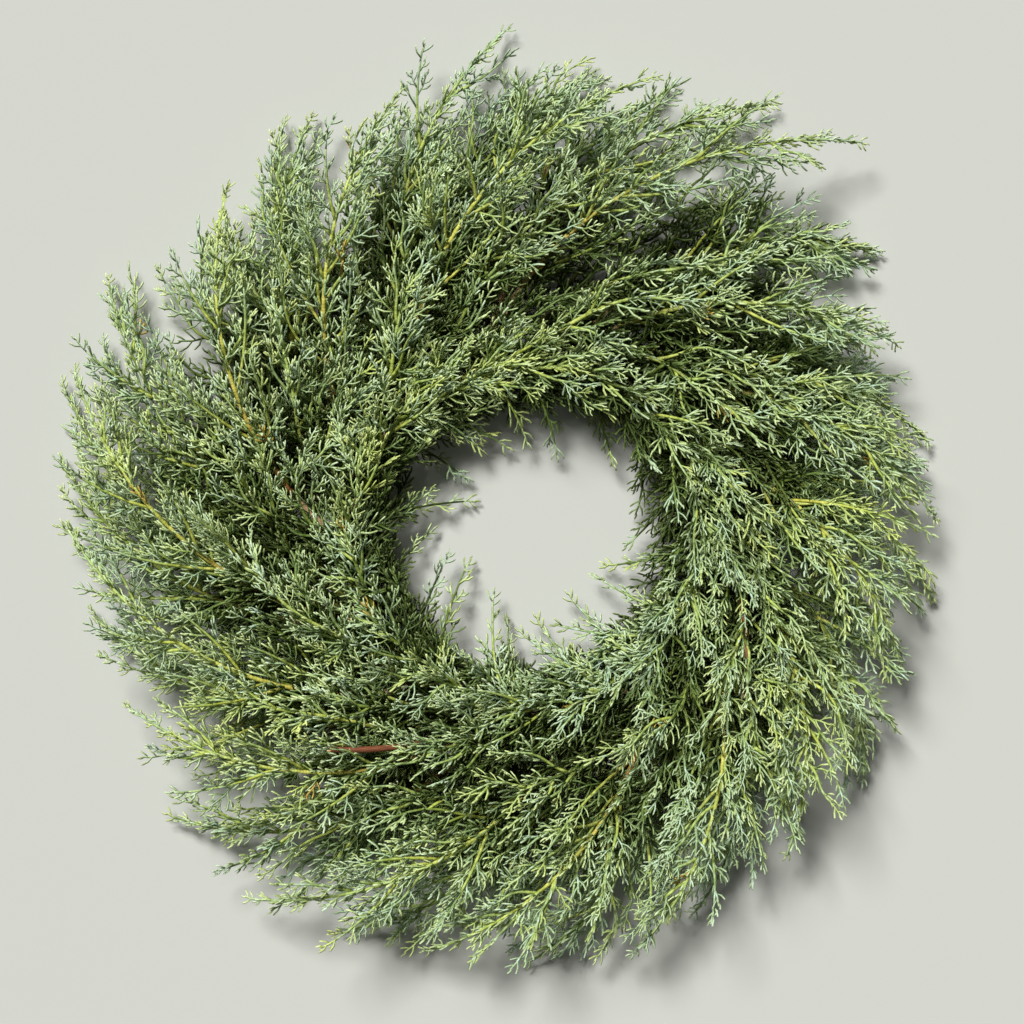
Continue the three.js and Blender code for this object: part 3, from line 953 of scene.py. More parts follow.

# [radius, height] of the wreath's upper surface, from the hole outwards, below which shade is painted on the
# foliage
SURFACE = (
    [60, 72, 84, 96, 112, 130, 160, 200, 240, 280, 320],
    [14, 22, 33, 42, 50, 53, 56, 51, 40, 28, 21],
)
# painted shade begins so many millimetres below that surface, and grows to its fullest over so many more
DEEP_BELOW = 10.5
DEEP_FADE = 12
IN_SHADE = 0.3  # the depth from which foliage takes its tone from painted shade alone
OPEN_SIDE = (315, 5.5)  # where light reaches deepest between the plumes, so that shade is painted only lower down, and by how many millimetres more
SUNK_BY_TONE = 40  # a bluer plume is painted in deeper shade, as if it lay deeper by so many millimetres for each step of tone
EDGE_LIT = (28, 80)  # how wide the outermost strip without painted shade is, and how far the painted shade then grows
INNER_SLOPE = (112, 16)  # the radius inside which the slope round the hole, with its painted shade, begins, and how fast
RIM_LIT = (1.25, 8)  # the painted shade at the hole's edge, and how fast it goes over the hole


def painted_shade_at(place, sunk):
    """How much shade is painted: from 0 for foliage in the light to 1 for foliage deep under the rest."""
    radius, clock = math.hypot(place[0], place[1]), clock_of(place)
    strip, fade = EDGE_LIT
    from_edge = clamped((outline_at(clock) - radius - strip) / fade)
    slope_start, slope_width = INNER_SLOPE
    inner_slope = clamped((slope_start - radius) / slope_width)
    slope_shade = read_round(SLOPE_SHADE, HOLE_STEP, clock)
    surface = float(np.interp(radius, *SURFACE)) + slope_shade * inner_slope
    open_clock, open_depth = OPEN_SIDE
    reached = DEEP_BELOW + open_depth * math.cos(math.radians(clock - open_clock)) * (1 - inner_slope)
    below = surface - place[2] - reached + sunk
    over_hole = read_round(HOLE_EDGE, HOLE_STEP, clock) - radius
    rim_shade, rim_fade = RIM_LIT
    return clamped(below / DEEP_FADE) * from_edge * clamped(rim_shade - over_hole / rim_fade)


def regional_tone(place):
    tone = PLAIN_TONE
    for clock, radius, spread, amount in TONE_PATCHES:
        away = size_of((place - at(clock, radius, 0)) * (1, 1, 0))
        tone += amount * math.exp(-((away / spread) ** 2))
    return tone


def tone_with_painted_shade(place, seed, plume_tone):
    # foliage lying deep enough takes a tone of painted shade, and the rest its own tone
    depth = painted_shade_at(place, SUNK_BY_TONE * max(-plume_tone, 0))
    if depth > IN_SHADE:
        return mix(DEEP_TONE, DEEPEST_TONE, depth)
    loose = LOOSE_TONE * (chance(seed, 7, 7, 7) - 0.5)
    return min(max(regional_tone(place) + plume_tone + loose, LIT_TONE), YELLOWEST_TONE)


# ---------------------------------------------------------------- sprays
HOLE_REACH = 5  # how far branchlets reach past the tips of bold plumes, over the hole
OVER_HOLE = 4  # and how much farther, on shoots that don't run over the hole themselves
TIP_REACH = 10  # how far they reach past the outline, on leaders and plumes that run up to it or past it
LOWEST_TWIGLET = 0.2
HIGHEST_TWIGLET = 82
RAISED_TRIES = (0, 30, 60)  # how far a branchlet is raised until it is off the floor, in degrees
# the longest branchlet that the models of each size serve
LONGEST = {"sprout": 9.5, "short": 16, "middle": 24, "long": math.inf}
LEAST_STOUTNESS = 0.9
BRANCHLET_ROLL = 100
BRANCHLET_VARIES = (0.75, 0.5)
DRY_SHARE = 0.006  # how many of the branchlets are dry and tan
DRY_AGE = 0.7  # the height on the growth map where shoots are tan
DRY_INSET = 35  # how far inside the outline they stay

# branchlets on a plume; a pair is for the first and the last of them
BRANCHLET_PITCH = 9.4
CLOSER_WHEN_THIN = 0.45  # the share of that pitch that would be left on a plume of no width
FULLNESS = (0.6, 1.05)  # plumes are narrow or wide
PLUME_TONES = 0.6  # how far whole plumes vary round the tone of their place
PLUME_STRETCH = 0.86
PLUME_BRANCHLETS = (0.1, 0.96)  # the shares of the plume where they sit
PLUME_BRANCHLET_SCATTER = 0.5
PLUME_FIRST = (16, 29)  # the first one's length, on the shortest plumes and from FULL_PLUME up
FULL_PLUME = 80
PLUME_LAST = 8
PLUME_NARROWING = 1.2  # above 1, they stay long for longer
PLUME_SPREAD = (46, 30)
PLUME_SPREAD_SCATTER = 20
PLUME_BRANCHLET_LIFT = 70
KEYS_PER_PLUME = 40  # the counts that chance() reads for one plume
# the one that ends a plume: its length, where it sits, and how much farther than the rest it may reach
END_BRANCHLET = 13
END_AT = 0.97
END_SPREAD = 4
END_OVER_HOLE = 6
END_PAST_OUTLINE = 8

# branchlets straight on a leader; every third stands up over it
LEADER_BRANCHLET_PITCH = 7.5
LEADER_FOOT = 0.02  # the share of it that stays bare at its foot
LEADER_END = 0.985
LEADER_BRANCHLET_SCATTER = 0.6
LEADER_FIRST_LAST = (22, 9)
LEADER_NARROWING = 1.7
LEADER_LIFT = (-40, 40)
LIFT_OVER = (60, 90)
SPREAD_OVER = 0.6
LEADER_SPREAD = (44, 28)
LEADER_SPREAD_SCATTER = 12
LEADER_TONE = 0.05
KEYS_PER_LEADER = 60  # the counts that chance() reads for one leader

# the short ones that hide its tip
CLAD_TIP = 0.72  # the share of a leader where they begin
CLAD_PITCH = 4
CLAD_LENGTH = 9.5
CLAD_VARIETY = (0.75, 1.15)
CLAD_NARROWING = (1, 0.72)
CLAD_LIFT = (-60, 60)
CLAD_SPREAD = (40, 24)
CLAD_TONE = 0.15
CLAD_KEYS = 30000  # where their counts begin
TIP_BRANCHLET = 10
TIP_SPREAD = 3


def branchlet_size(length):
    return next(size for size, longest in LONGEST.items() if length < longest)


NEARLY_ALONG = 0.05  # below this, a branchlet runs straight on from its parent


def facing(heading, side, spread, lift, roll):
    """The directions of a branchlet's own axes: outwards, away from its parent's heading, and up."""
    along, left, above = heading
    lift, spread, roll = math.radians(lift), math.radians(spread), math.radians(roll)
    sideways = left * (side * math.cos(lift)) + above * math.sin(lift)
    out = along * math.cos(spread) + sideways * math.sin(spread)
    towards = along - out * float(along @ out)
    away = -unit(towards) if size_of(towards) > NEARLY_ALONG else unit(cross(above, out))
    up = cross(out, away)
    return out, away * math.cos(roll) + up * math.sin(roll), up * math.cos(roll) - away * math.sin(roll)


def branchlet_on(
    models, root, heading, side, spread, lift, length, seed, tone, over_hole=OVER_HOLE, beyond=0
):
    """One branchlet beside a shoot, raised off the surface if need be, or None where it finds no room.

    It may reach past the hole's edge and the outline by the last two.
    """
    size = branchlet_size(length)
    pick = int(chance(seed, 13, 5, 3) * len(models[size])) % len(models[size])
    model = models[size][pick]
    scale = length / BRANCHLETS[size][1][pick][0]
    stout = max(scale, LEAST_STOUTNESS)
    roll = BRANCHLET_ROLL * (chance(seed, 11, 3, 5) - 0.5)
    for raised in RAISED_TRIES:
        out, away, up = facing(heading, side, spread, lift + raised, roll)
        if not keeps_inside(root + out * length, -HOLE_REACH - over_hole, -beyond):
            continue
        place = basis(out * scale, away * stout, up * stout, (root + RING_CENTRE) * MM)
        corners = [(place @ Vector(corner)).z for corner in model.bound_box]
        if min(corners) > LOWEST_TWIGLET * MM and max(corners) < HIGHEST_TWIGLET * MM:
            piece = copy_of(model, place)
            is_dry = chance(seed, 17, 3, 5) < DRY_SHARE and keeps_inside(root, 0, DRY_INSET)
            shift_growth(piece.data, tone_with_painted_shade(root, seed, tone), scale, DRY_AGE if is_dry else 0)
            return piece
    return None


def tilted(heading, tilt):
    """The same directions, turned about the one along the shoot."""
    along, left, above = heading
    cosine, sine = math.cos(math.radians(tilt)), math.sin(math.radians(tilt))
    return along, left * cosine + above * sine, above * cosine - left * sine


def plume_branchlets(models, plume):
    """Branchlets on both sides of a plume, shorter towards its tip, and one that ends it."""
    path, length, seed = plume["path"], plume["length"], plume["seed"]
    fullness = plume.get("fullness", mix(*FULLNESS, chance(seed, 9, 8, 8)))
    pitch = plume.get("pitch", BRANCHLET_PITCH * mix(CLOSER_WHEN_THIN, 1, fullness))
    count = max(3, round(length * PLUME_STRETCH / pitch))
    first = mix(*PLUME_FIRST, min(length / FULL_PLUME, 1)) * fullness
    tone = PLUME_TONES * (chance(seed, 8, 8, 8) - 0.5)
    over_hole = max(plume.get("past_hole", OVER_HOLE), 0)
    past_outline = math.hypot(*path(1)[:2]) - outline_at(clock_of(path(1)))
    beyond = past_outline + TIP_REACH if past_outline > 0 else 0
    pieces = []
    for k in range(count):
        key = seed * KEYS_PER_PLUME + k
        share = mix(*PLUME_BRANCHLETS, (k + PLUME_BRANCHLET_SCATTER * chance(key, 1, 4, 2)) / count)
        longer = varied(*BRANCHLET_VARIES, chance(key, 2, 4, 2))
        size = mix(first, PLUME_LAST, share**PLUME_NARROWING) * longer
        lift = PLUME_BRANCHLET_LIFT * (chance(key, 3, 4, 2) - 0.5)
        spread = mix(*PLUME_SPREAD, share) + PLUME_SPREAD_SCATTER * (chance(key, 4, 4, 2) - 0.5)
        side = 1 if (k + seed) % 2 else -1
        heading = tilted(heading_of(path, share), plume["tilt"])
        placed = (path(share), heading, side, spread, lift)
        pieces.append(branchlet_on(models, *placed, size, key, tone, over_hole, beyond))
    key = seed * KEYS_PER_PLUME + KEYS_PER_PLUME - 1
    placed = (path(END_AT), tilted(heading_of(path, 1), plume["tilt"]), 1, END_SPREAD, 0)
    margins = (over_hole + END_OVER_HOLE, beyond + END_PAST_OUTLINE)
    pieces.append(branchlet_on(models, *placed, END_BRANCHLET, key, tone, *margins))
    return [piece for piece in pieces if piece]


def leader_branchlets(models, path, start, seed):
    """Branchlets straight on the leader, all round it."""
    count = round(size_of(path(1) - path(0)) * (1 - start) / LEADER_BRANCHLET_PITCH)
    pieces = []
    for k in range(count):
        key = seed * KEYS_PER_LEADER + k
        place = (k + LEADER_BRANCHLET_SCATTER * chance(key, 1, 4, 2)) / count
        share = mix(start + LEADER_FOOT, LEADER_END, place)
        longer = varied(*BRANCHLET_VARIES, chance(key, 2, 4, 2))
        size = mix(*LEADER_FIRST_LAST, share**LEADER_NARROWING) * longer
        stands_over = k % 3 == 2
        lift = mix(*(LIFT_OVER if stands_over else LEADER_LIFT), chance(key, 3, 4, 2))
        narrower = SPREAD_OVER if stands_over else 1
        scatter = LEADER_SPREAD_SCATTER * (chance(key, 4, 4, 2) - 0.5)
        spread = mix(*LEADER_SPREAD, share) * narrower + scatter
        side = 1 if k % 2 else -1
        placed = (path(share), heading_of(path, share), side, spread, lift)
        pieces.append(branchlet_on(models, *placed, size, key, LEADER_TONE))
    return pieces


def tip_branchlets(models, path, seed):
    """The small branchlets, close together, that hide the end of a leader, and the one that ends it."""
    count = round(size_of(path(1) - path(0)) * (1 - CLAD_TIP) / CLAD_PITCH)
    pieces = []
    for k in range(count):
        key = seed * KEYS_PER_LEADER + CLAD_KEYS + k
        share = mix(CLAD_TIP, LEADER_END, k / count)
        size = CLAD_LENGTH * mix(*CLAD_VARIETY, chance(key, 2, 4, 2)) * mix(*CLAD_NARROWING, k / count)
        lift = mix(*CLAD_LIFT, chance(key, 3, 4, 2))
        spread = mix(*CLAD_SPREAD, k / count)
        side = 1 if k % 2 else -1
        placed = (path(share), heading_of(path, share), side, spread, lift)
        pieces.append(branchlet_on(models, *placed, size, key, CLAD_TONE, OVER_HOLE, TIP_REACH))
    placed = (path(LEADER_END), heading_of(path, 1), 1, TIP_SPREAD, 0)
    key = seed * KEYS_PER_LEADER + KEYS_PER_LEADER - 1
    pieces.append(branchlet_on(models, *placed, TIP_BRANCHLET, key, CLAD_TONE, OVER_HOLE, TIP_REACH))
    return pieces


# radii of the straight models that leaders and plumes are bent from; a blunt end is [share, radius]
LEADER_SIDES = 7
LEADER_LEAVES = 38
LEAF_FOOT = 0.9  # how far a scale leaf's foot and tip stand out, as shares of the leader's radius
LEAF_TIP = 1.12
LEAF_TIP_AT = 0.8
LEADER_THIN_END = 0.7
LEADER_TAPER = 0.6
LEADER_BLUNT_END = (0.996, 0.62)
LEADER_RIPENESS = (0.72, 1.15)  # how much sooner or later than other shoots a leader turns yellow
LEADER_POINTS = 24

PLUME_SIDES = 6
PLUME_JOINTS = 8
PLUME_RADII = (1.1, 0.6)
PLUME_BLUNT_END = (0.98, 0.58)
PLUME_RIPENESS = 1.6  # how much sooner than other shoots a plume's stalk does
PLUME_POINTS = 10


def leader_model():
    """A straight leader, one metre long, sheathed in scale leaves whose tips stand a little proud of it."""
    stations = []
    for k in range(LEADER_LEAVES):
        foot, tip = k / LEADER_LEAVES, (k + LEAF_TIP_AT) / LEADER_LEAVES
        radius = mix(STEM_END_RADIUS, LEADER_THIN_END, foot**LEADER_TAPER)
        stations += [(foot, LEAF_FOOT * radius), (tip, LEAF_TIP * radius)]
    stations += [LEADER_BLUNT_END, (1, 0)]
    return chart_growth(extruded_shoot("leader", LEADER_SIDES, on_one_metre(stations)), 1)


def plume_model():
    """The straight stalk of a plume, one metre long."""
    stations = [(k / PLUME_JOINTS, mix(*PLUME_RADII, k / PLUME_JOINTS)) for k in range(PLUME_JOINTS)]
    stations += [PLUME_BLUNT_END, (1, 0)]
    return chart_growth(extruded_shoot("plume", PLUME_SIDES, on_one_metre(stations)), 1)


def grown_sprig(path, start, plumes, models, seed):
    """A leader with its plumes and all their branchlets, as loose parts."""
    line = [path(mix(start, 1, k / LEADER_POINTS)) for k in range(LEADER_POINTS + 1)]
    leader = bent_along(models["leader"][0], line, "leader")
    ripeness = mix(*LEADER_RIPENESS, chance(seed, 15, 4, 4))
    shift_growth(leader.data, tone_with_painted_shade(path(0.5), seed, 0), ripeness * size_of(path(1) - path(start)) * MM)
    parts = [leader]
    for plume in plumes:
        line = [plume["path"](k / PLUME_POINTS) for k in range(PLUME_POINTS + 1)]
        stalk = bent_along(models["plume"][0], line, "plume")
        tone = tone_with_painted_shade(line[PLUME_POINTS // 2], plume["seed"], 0)
        shift_growth(stalk.data, tone, PLUME_RIPENESS * plume["length"] * MM)
        parts.append(stalk)
        parts += plume_branchlets(models, plume)
    on_leader = leader_branchlets(models, path, start, seed) + tip_branchlets(models, path, seed)
    return parts + [piece for piece in on_leader if piece]


# where the counts that chance() reads begin, for each kind of shoot, and how many each sprig keeps free
LEADER_SEEDS = 1000
BETWEEN_SEEDS = 2000
BETWEEN_PLUME_SEEDS = 3000
SEEDS_EACH = 20


def leafy_spray(tier, bunch, fronds, models, material):
    """A spray on its own leader, thickened by the shorter sprigs that are tied in beside it."""
    number = TIERS.index(tier) * BUNCHES + bunch
    path, start, line = leader_of(tier, bunch)
    filling, angles = FILLING[tier["name"]], PLUME_ANGLES[tier["name"]]
    plumes = fronds + filling_plumes(path, line, filling, angles, LEADER_SEEDS + number * SEEDS_EACH, start)
    if tier["name"] == "inner":
        plumes += rim_plumes(tier, bunch)
    parts = grown_sprig(path, start, plumes, models, LEADER_SEEDS + number)
    for k, shape in enumerate(SPRIGS[tier["name"]]):
        if bunch not in shape.get("bunches", range(BUNCHES)):
            continue
        line = sprig_between(shape, bunch)
        order = number * 2 + k
        plumes = filling_plumes(line, line, shape["plumes"], angles, BETWEEN_PLUME_SEEDS + order * SEEDS_EACH)
        parts += grown_sprig(line, 0, plumes, models, BETWEEN_SEEDS + order)
    name = f"spray_{tier['name']}_{bunch + 1:02d}"
    return finished(join(parts, "cypress_" + name), [material], f"{tier['name']}_foliage", name)


# ---------------------------------------------------------------- woody stems
STEM_SIDES = 12
STEM_RADII = (2.5, STEM_END_RADIUS)
STEM_SWELLS = [1, 1, 1.06, 0.98, 1.02, 1.1, 1.0, 0.99, 1.05, 0.97, 1.0, 1.04, 0.98, 1, 1]
STEM_POINTS = 12
SAWN_INSET = 0.35
BUTT_RISE = 0.0012  # how far the sawn butt stands out, as a share of the stem
FACES_BUTT = -0.9  # below this, a normal's x points out of the butt
STUB_SIDES = 10
STUB_RADII = (1.9, 1.7)
STUB_SWELLS = [1.0, 1.02, 1.1, 0.98, 1.0, 1.08, 0.97, 1.06, 1.0, 1.0]
STUB_CUT = [(0, 1.2), (0.022, 1.55), (0.028, 1.85)]  # [share of its length, radius] where the bark ends
STUB_BARE = 0.024  # the share of it that is bare
STUB_TONE = 0.2
BARK_SPAN = 0.3  # the share of the growth map's width that runs once round a stem


def swollen(radii, swells):
    """Stations of a stem that tapers evenly, but for its swellings."""
    last = len(swells) - 1
    return [(k / last, mix(*radii, k / last) * swell) for k, swell in enumerate(swells)]


def stem_model(wood, sawn):
    """A straight woody stem, one metre long: swollen at its leaf scars, sawn off at its butt."""
    stem = extruded_shoot("stem", STEM_SIDES, on_one_metre(swollen(STEM_RADII, STEM_SWELLS)))
    mesh = stem.data
    for face in mesh.polygons:
        face.select = face.normal.x < FACES_BUTT
    bpy.ops.object.mode_set(mode="EDIT")
    bpy.ops.mesh.select_mode(type="FACE")
    bpy.ops.mesh.inset(thickness=SAWN_INSET * MM)
    bpy.ops.transform.translate(value=(-BUTT_RISE, 0, 0))
    bpy.ops.object.mode_set(mode="OBJECT")
    mesh.materials.append(wood)
    mesh.materials.append(sawn)
    for face in mesh.polygons:
        face.material_index = 1 if face.select else 0
    return chart_growth(stem, 1, BARK_SPAN)


def stub_model(wood, sawn):
    """A straight side branch, one metre long, swollen at its leaf scars and bare of bark where it was cut."""
    barked = [(k + 1) / len(STUB_SWELLS) for k in range(len(STUB_SWELLS))]
    radii = [radius for _, radius in swollen(STUB_RADII, STUB_SWELLS)]
    stub = extruded_shoot("stub", STUB_SIDES, on_one_metre([*STUB_CUT, *zip(barked, radii)]))
    stub.data.materials.append(wood)
    stub.data.materials.append(sawn)
    for face in stub.data.polygons:
        face.material_index = 1 if face.center.x < STUB_BARE else 0
    return chart_growth(stub, 1, BARK_SPAN)


def bent_stem(model, line, tone, name):
    stem = bent_along(model, line, name)
    shift_growth(stem.data, tone, length_of(line) * MM)
    return stem


def cut_stub(bunch, model):
    """A side branch that rises out of the bunch and was cut short where it meets the light."""
    start, bend, end = [at(*place) for place in STUBS[bunch]]
    shares = [k / STEM_POINTS for k in range(STEM_POINTS + 1)]
    line = [mix(mix(end, bend, share), mix(bend, start, share), share) for share in shares]
    return bent_stem(model, line, STUB_TONE, "stub")


def woody_stems(bunch, model, stub):
    """The three stems of a bunch, from sawn butts to where the leaves begin, and its cut side branch."""
    stems = []
    for k, tier in enumerate(TIERS):
        path = sprig_path(tier, bunch)
        line = [path(mix(-BUTT_SHARE, WOODY_SHARE, i / STEM_POINTS)) for i in range(STEM_POINTS + 1)]
        stems.append(bent_stem(model, line, k / len(TIERS), "stem"))
    if bunch in STUBS:
        stems.append(cut_stub(bunch, stub))
    name = f"stems_{bunch + 1:02d}"
    return finished(join(stems, "woody_" + name), [], "woody_stems", name)


# ---------------------------------------------------------------- wire ring and binding wire
CROSS_SIDES = 12
WELD_RADIUS = 1.5
WELD_SPREAD = (1.25, 1.1, 0.62)
BEND_CUTS = (0.2, 0.25)  # the shares of each stretch that are cut off to round the wire's bends


def rail(radius):
    deselect_all()
    bpy.ops.mesh.primitive_torus_add(
        location=(RING_X * MM, RING_Y * MM, RAIL_HEIGHT * MM),
        major_radius=radius * MM,
        minor_radius=RAIL_RADIUS * MM,
        major_segments=RAIL_STEPS,
        minor_segments=RAIL_SIDES,
        generate_uvs=False,
    )
    bpy.ops.object.transform_apply(location=True, rotation=True, scale=True)
    bpy.ops.object.shade_smooth()
    return bpy.context.active_object


def crosspiece_model():
    """A straight crosspiece with rounded ends."""
    length = OUTER_RAIL - INNER_RAIL + 2 * RAIL_RADIUS
    rounding = CROSS_END_ROUNDING
    near_end = 0.3 * rounding
    ends = [(0, CROSS_RADIUS - rounding), (near_end, CROSS_RADIUS - near_end), (rounding, CROSS_RADIUS)]
    far_ends = [(length - place, radius) for place, radius in reversed(ends)]
    return extruded_shoot("crosspiece", CROSS_SIDES, in_millimetres(ends + far_ends))


def weld_model():
    """A flattened bead of weld, spread along the wire that it sits on."""
    deselect_all()
    bpy.ops.mesh.primitive_ico_sphere_add(subdivisions=2, radius=WELD_RADIUS * MM, calc_uvs=False)
    bpy.ops.object.mode_set(mode="EDIT")
    bpy.ops.mesh.select_all(action="SELECT")
    bpy.ops.transform.resize(value=WELD_SPREAD, center_override=(0, 0, 0))
    bpy.ops.object.mode_set(mode="OBJECT")
    bpy.ops.object.shade_smooth()
    return bpy.context.active_object


def wire_ring(material):
    """Two round rails, laid on seven crosspieces and welded to them."""
    bar, weld = crosspiece_model(), weld_model()
    parts = [rail(INNER_RAIL), rail(OUTER_RAIL)]
    for bunch in range(0, BUNCHES, 2):
        clock = tie_clock(bunch) + BUNCH_PITCH / 2
        outward, sideways = at(clock, 1, 0), at(clock + 90, 1, 0)
        start = at(clock, INNER_RAIL - RAIL_RADIUS, CROSS_RADIUS) + RING_CENTRE
        parts.append(copy_of(bar, basis(outward, -sideways, UP, start * MM)))
        for radius in (INNER_RAIL, OUTER_RAIL):
            place = at(clock, radius, 2 * CROSS_RADIUS) + RING_CENTRE
            parts.append(copy_of(weld, basis(outward, -sideways, UP, place * MM)))
    remove([bar, weld])
    return finished(join(parts, "welded_wire_ring"), [material], "frame_wire", "wire_frame")


def rounded_corners(points, cut):
    """A route with every corner cut off, so that a wire bends round it."""
    softer = [points[0]]
    for a, b in zip(points, points[1:]):
        softer += [mix(a, b, cut), mix(b, a, cut)]
    return softer + [points[-1]]


def binding_wire(material):
    """One long wire, wound round the ring and the stems at every tie."""
    route = binding_route()
    for cut in BEND_CUTS:
        route = rounded_corners(route, cut)
    wire = curve_through(route, "binding")
    wire.data.bevel_depth = BINDING_RADIUS * MM
    wire.data.bevel_resolution = 1
    wire.data.use_fill_caps = True
    make_active(wire)
    bpy.ops.object.convert(target="MESH")
    bpy.ops.object.shade_smooth()
    wire.name = wire.data.name = "wound_binding_wire"
    return finished(wire, [material], "binding_wire", "binding_wire")


# ---------------------------------------------------------------- materials
def linear(red, green, blue):
    """The linear colour of one given as it looks on a screen, from 0 to 255."""
    parts = [value / 255 for value in (red, green, blue)]
    return (*[part / 12.92 if part <= 0.04045 else ((part + 0.055) / 1.055) ** 2.4 for part in parts], 1)


def colour_ramp(tree, value, stops):
    """The colour that a value gives on a ramp of stops, each (place, colour on a screen)."""
    node = tree.nodes.new("ShaderNodeValToRGB")
    elements = node.color_ramp.elements
    while len(elements) < len(stops):
        elements.new(0.5)
    for element, (place, _) in zip(elements, stops):
        element.position = place
    for element, (_, colour) in zip(elements, stops):
        element.color = linear(*colour)
    tree.links.new(value, node.inputs["Fac"])
    return node.outputs["Color"]


def set_or_link(tree, socket, value):
    """Gives a socket a plain number or colour, or another node's output."""
    if isinstance(value, bpy.types.NodeSocket):
        tree.links.new(value, socket)
    else:
        socket.default_value = value


def calculate(tree, operation, *values, clamp=False):
    """A Math node's result; each of its values is a number or another node's output."""
    node = tree.nodes.new("ShaderNodeMath")
    node.operation = operation
    node.use_clamp = clamp
    for socket, value in zip(node.inputs, values):
        set_or_link(tree, socket, value)
    return node.outputs[0]


def in_range(tree, value, taken, given):
    """A value carried over from one range to another, and held within it."""
    node = tree.nodes.new("ShaderNodeMapRange")
    names = ("Value", "From Min", "From Max", "To Min", "To Max")
    for name, number in zip(names, (value, *taken, *given)):
        set_or_link(tree, node.inputs[name], number)
    return node.outputs["Result"]


def mixed_colour(tree, factor, a, b, blend="MIX"):
    node = tree.nodes.new("ShaderNodeMix")
    node.data_type = "RGBA"
    node.blend_type = blend
    for name, value in (("Factor", factor), ("A", a), ("B", b)):
        set_or_link(tree, node.inputs[name], value)
    return node.outputs["Result"]


def combined(tree, kind, *parts):
    """A vector or a colour put together from its parts."""
    node = tree.nodes.new(kind)
    for socket, part in zip(node.inputs, parts):
        tree.links.new(part, socket)
    return node.outputs[0]


def noise(tree, place, scale, detail, roughness=0.5, dimensions="3D"):
    node = tree.nodes.new("ShaderNodeTexNoise")
    node.noise_dimensions = dimensions
    node.inputs["Scale"].default_value = scale
    node.inputs["Detail"].default_value = detail
    node.inputs["Roughness"].default_value = roughness
    tree.links.new(place, node.inputs["Vector"])
    return node.outputs["Fac"]


def growth_map(tree):
    node = tree.nodes.new("ShaderNodeUVMap")
    node.uv_map = "growth"
    return node.outputs["UV"]


LEAF_PITCH = 1.7
LEAF_FOOT_SHARPNESS = 4
LEAF_FOOT_SHADE = 0.22
MOTTLE_ACROSS = 42  # how many patches of mottle the growth map has across its width
MOTTLE_LENGTH = 5  # and how long they are, in millimetres
MOTTLE_CONTRAST = 1.5
MOTTLE_DARKEST = 0.27
FULLY_YELLOW = 0.97  # the tone at which foliage is as yellow as the yellow shoot
DEEP_SHADE = 0.08  # how much of its brightness foliage keeps in the deepest painted shade
SHADE_POWERS = (1.1, 1.0, 1.9)  # how fast red, green and blue grow darker in painted shade
TIP_LENGTH = 2.4  # how much of a shoot is its pale growing tip, in millimetres
PALE_TIP = (204, 216, 164)
LEAF_ROUGHNESS = (0.48, 0.72)
# [height on the growth map, colour], from a shoot's growing tip to its woody foot
BLUE_SHOOT = [
    (0.0, (172, 196, 164)), (0.04, (152, 178, 144)), (0.1, (136, 162, 112)), (0.25, (152, 172, 92)),
    (0.5, (168, 174, 84)), (0.72, (172, 152, 74)), (0.86, (156, 98, 52)), (1.0, (98, 52, 34)),
]
YELLOW_SHOOT = [
    (0.0, (196, 208, 122)), (0.04, (168, 186, 94)), (0.1, (156, 176, 72)), (0.25, (178, 188, 74)),
    (0.5, (190, 186, 76)), (0.72, (186, 156, 68)), (0.86, (168, 104, 52)), (1.0, (106, 52, 32)),
]


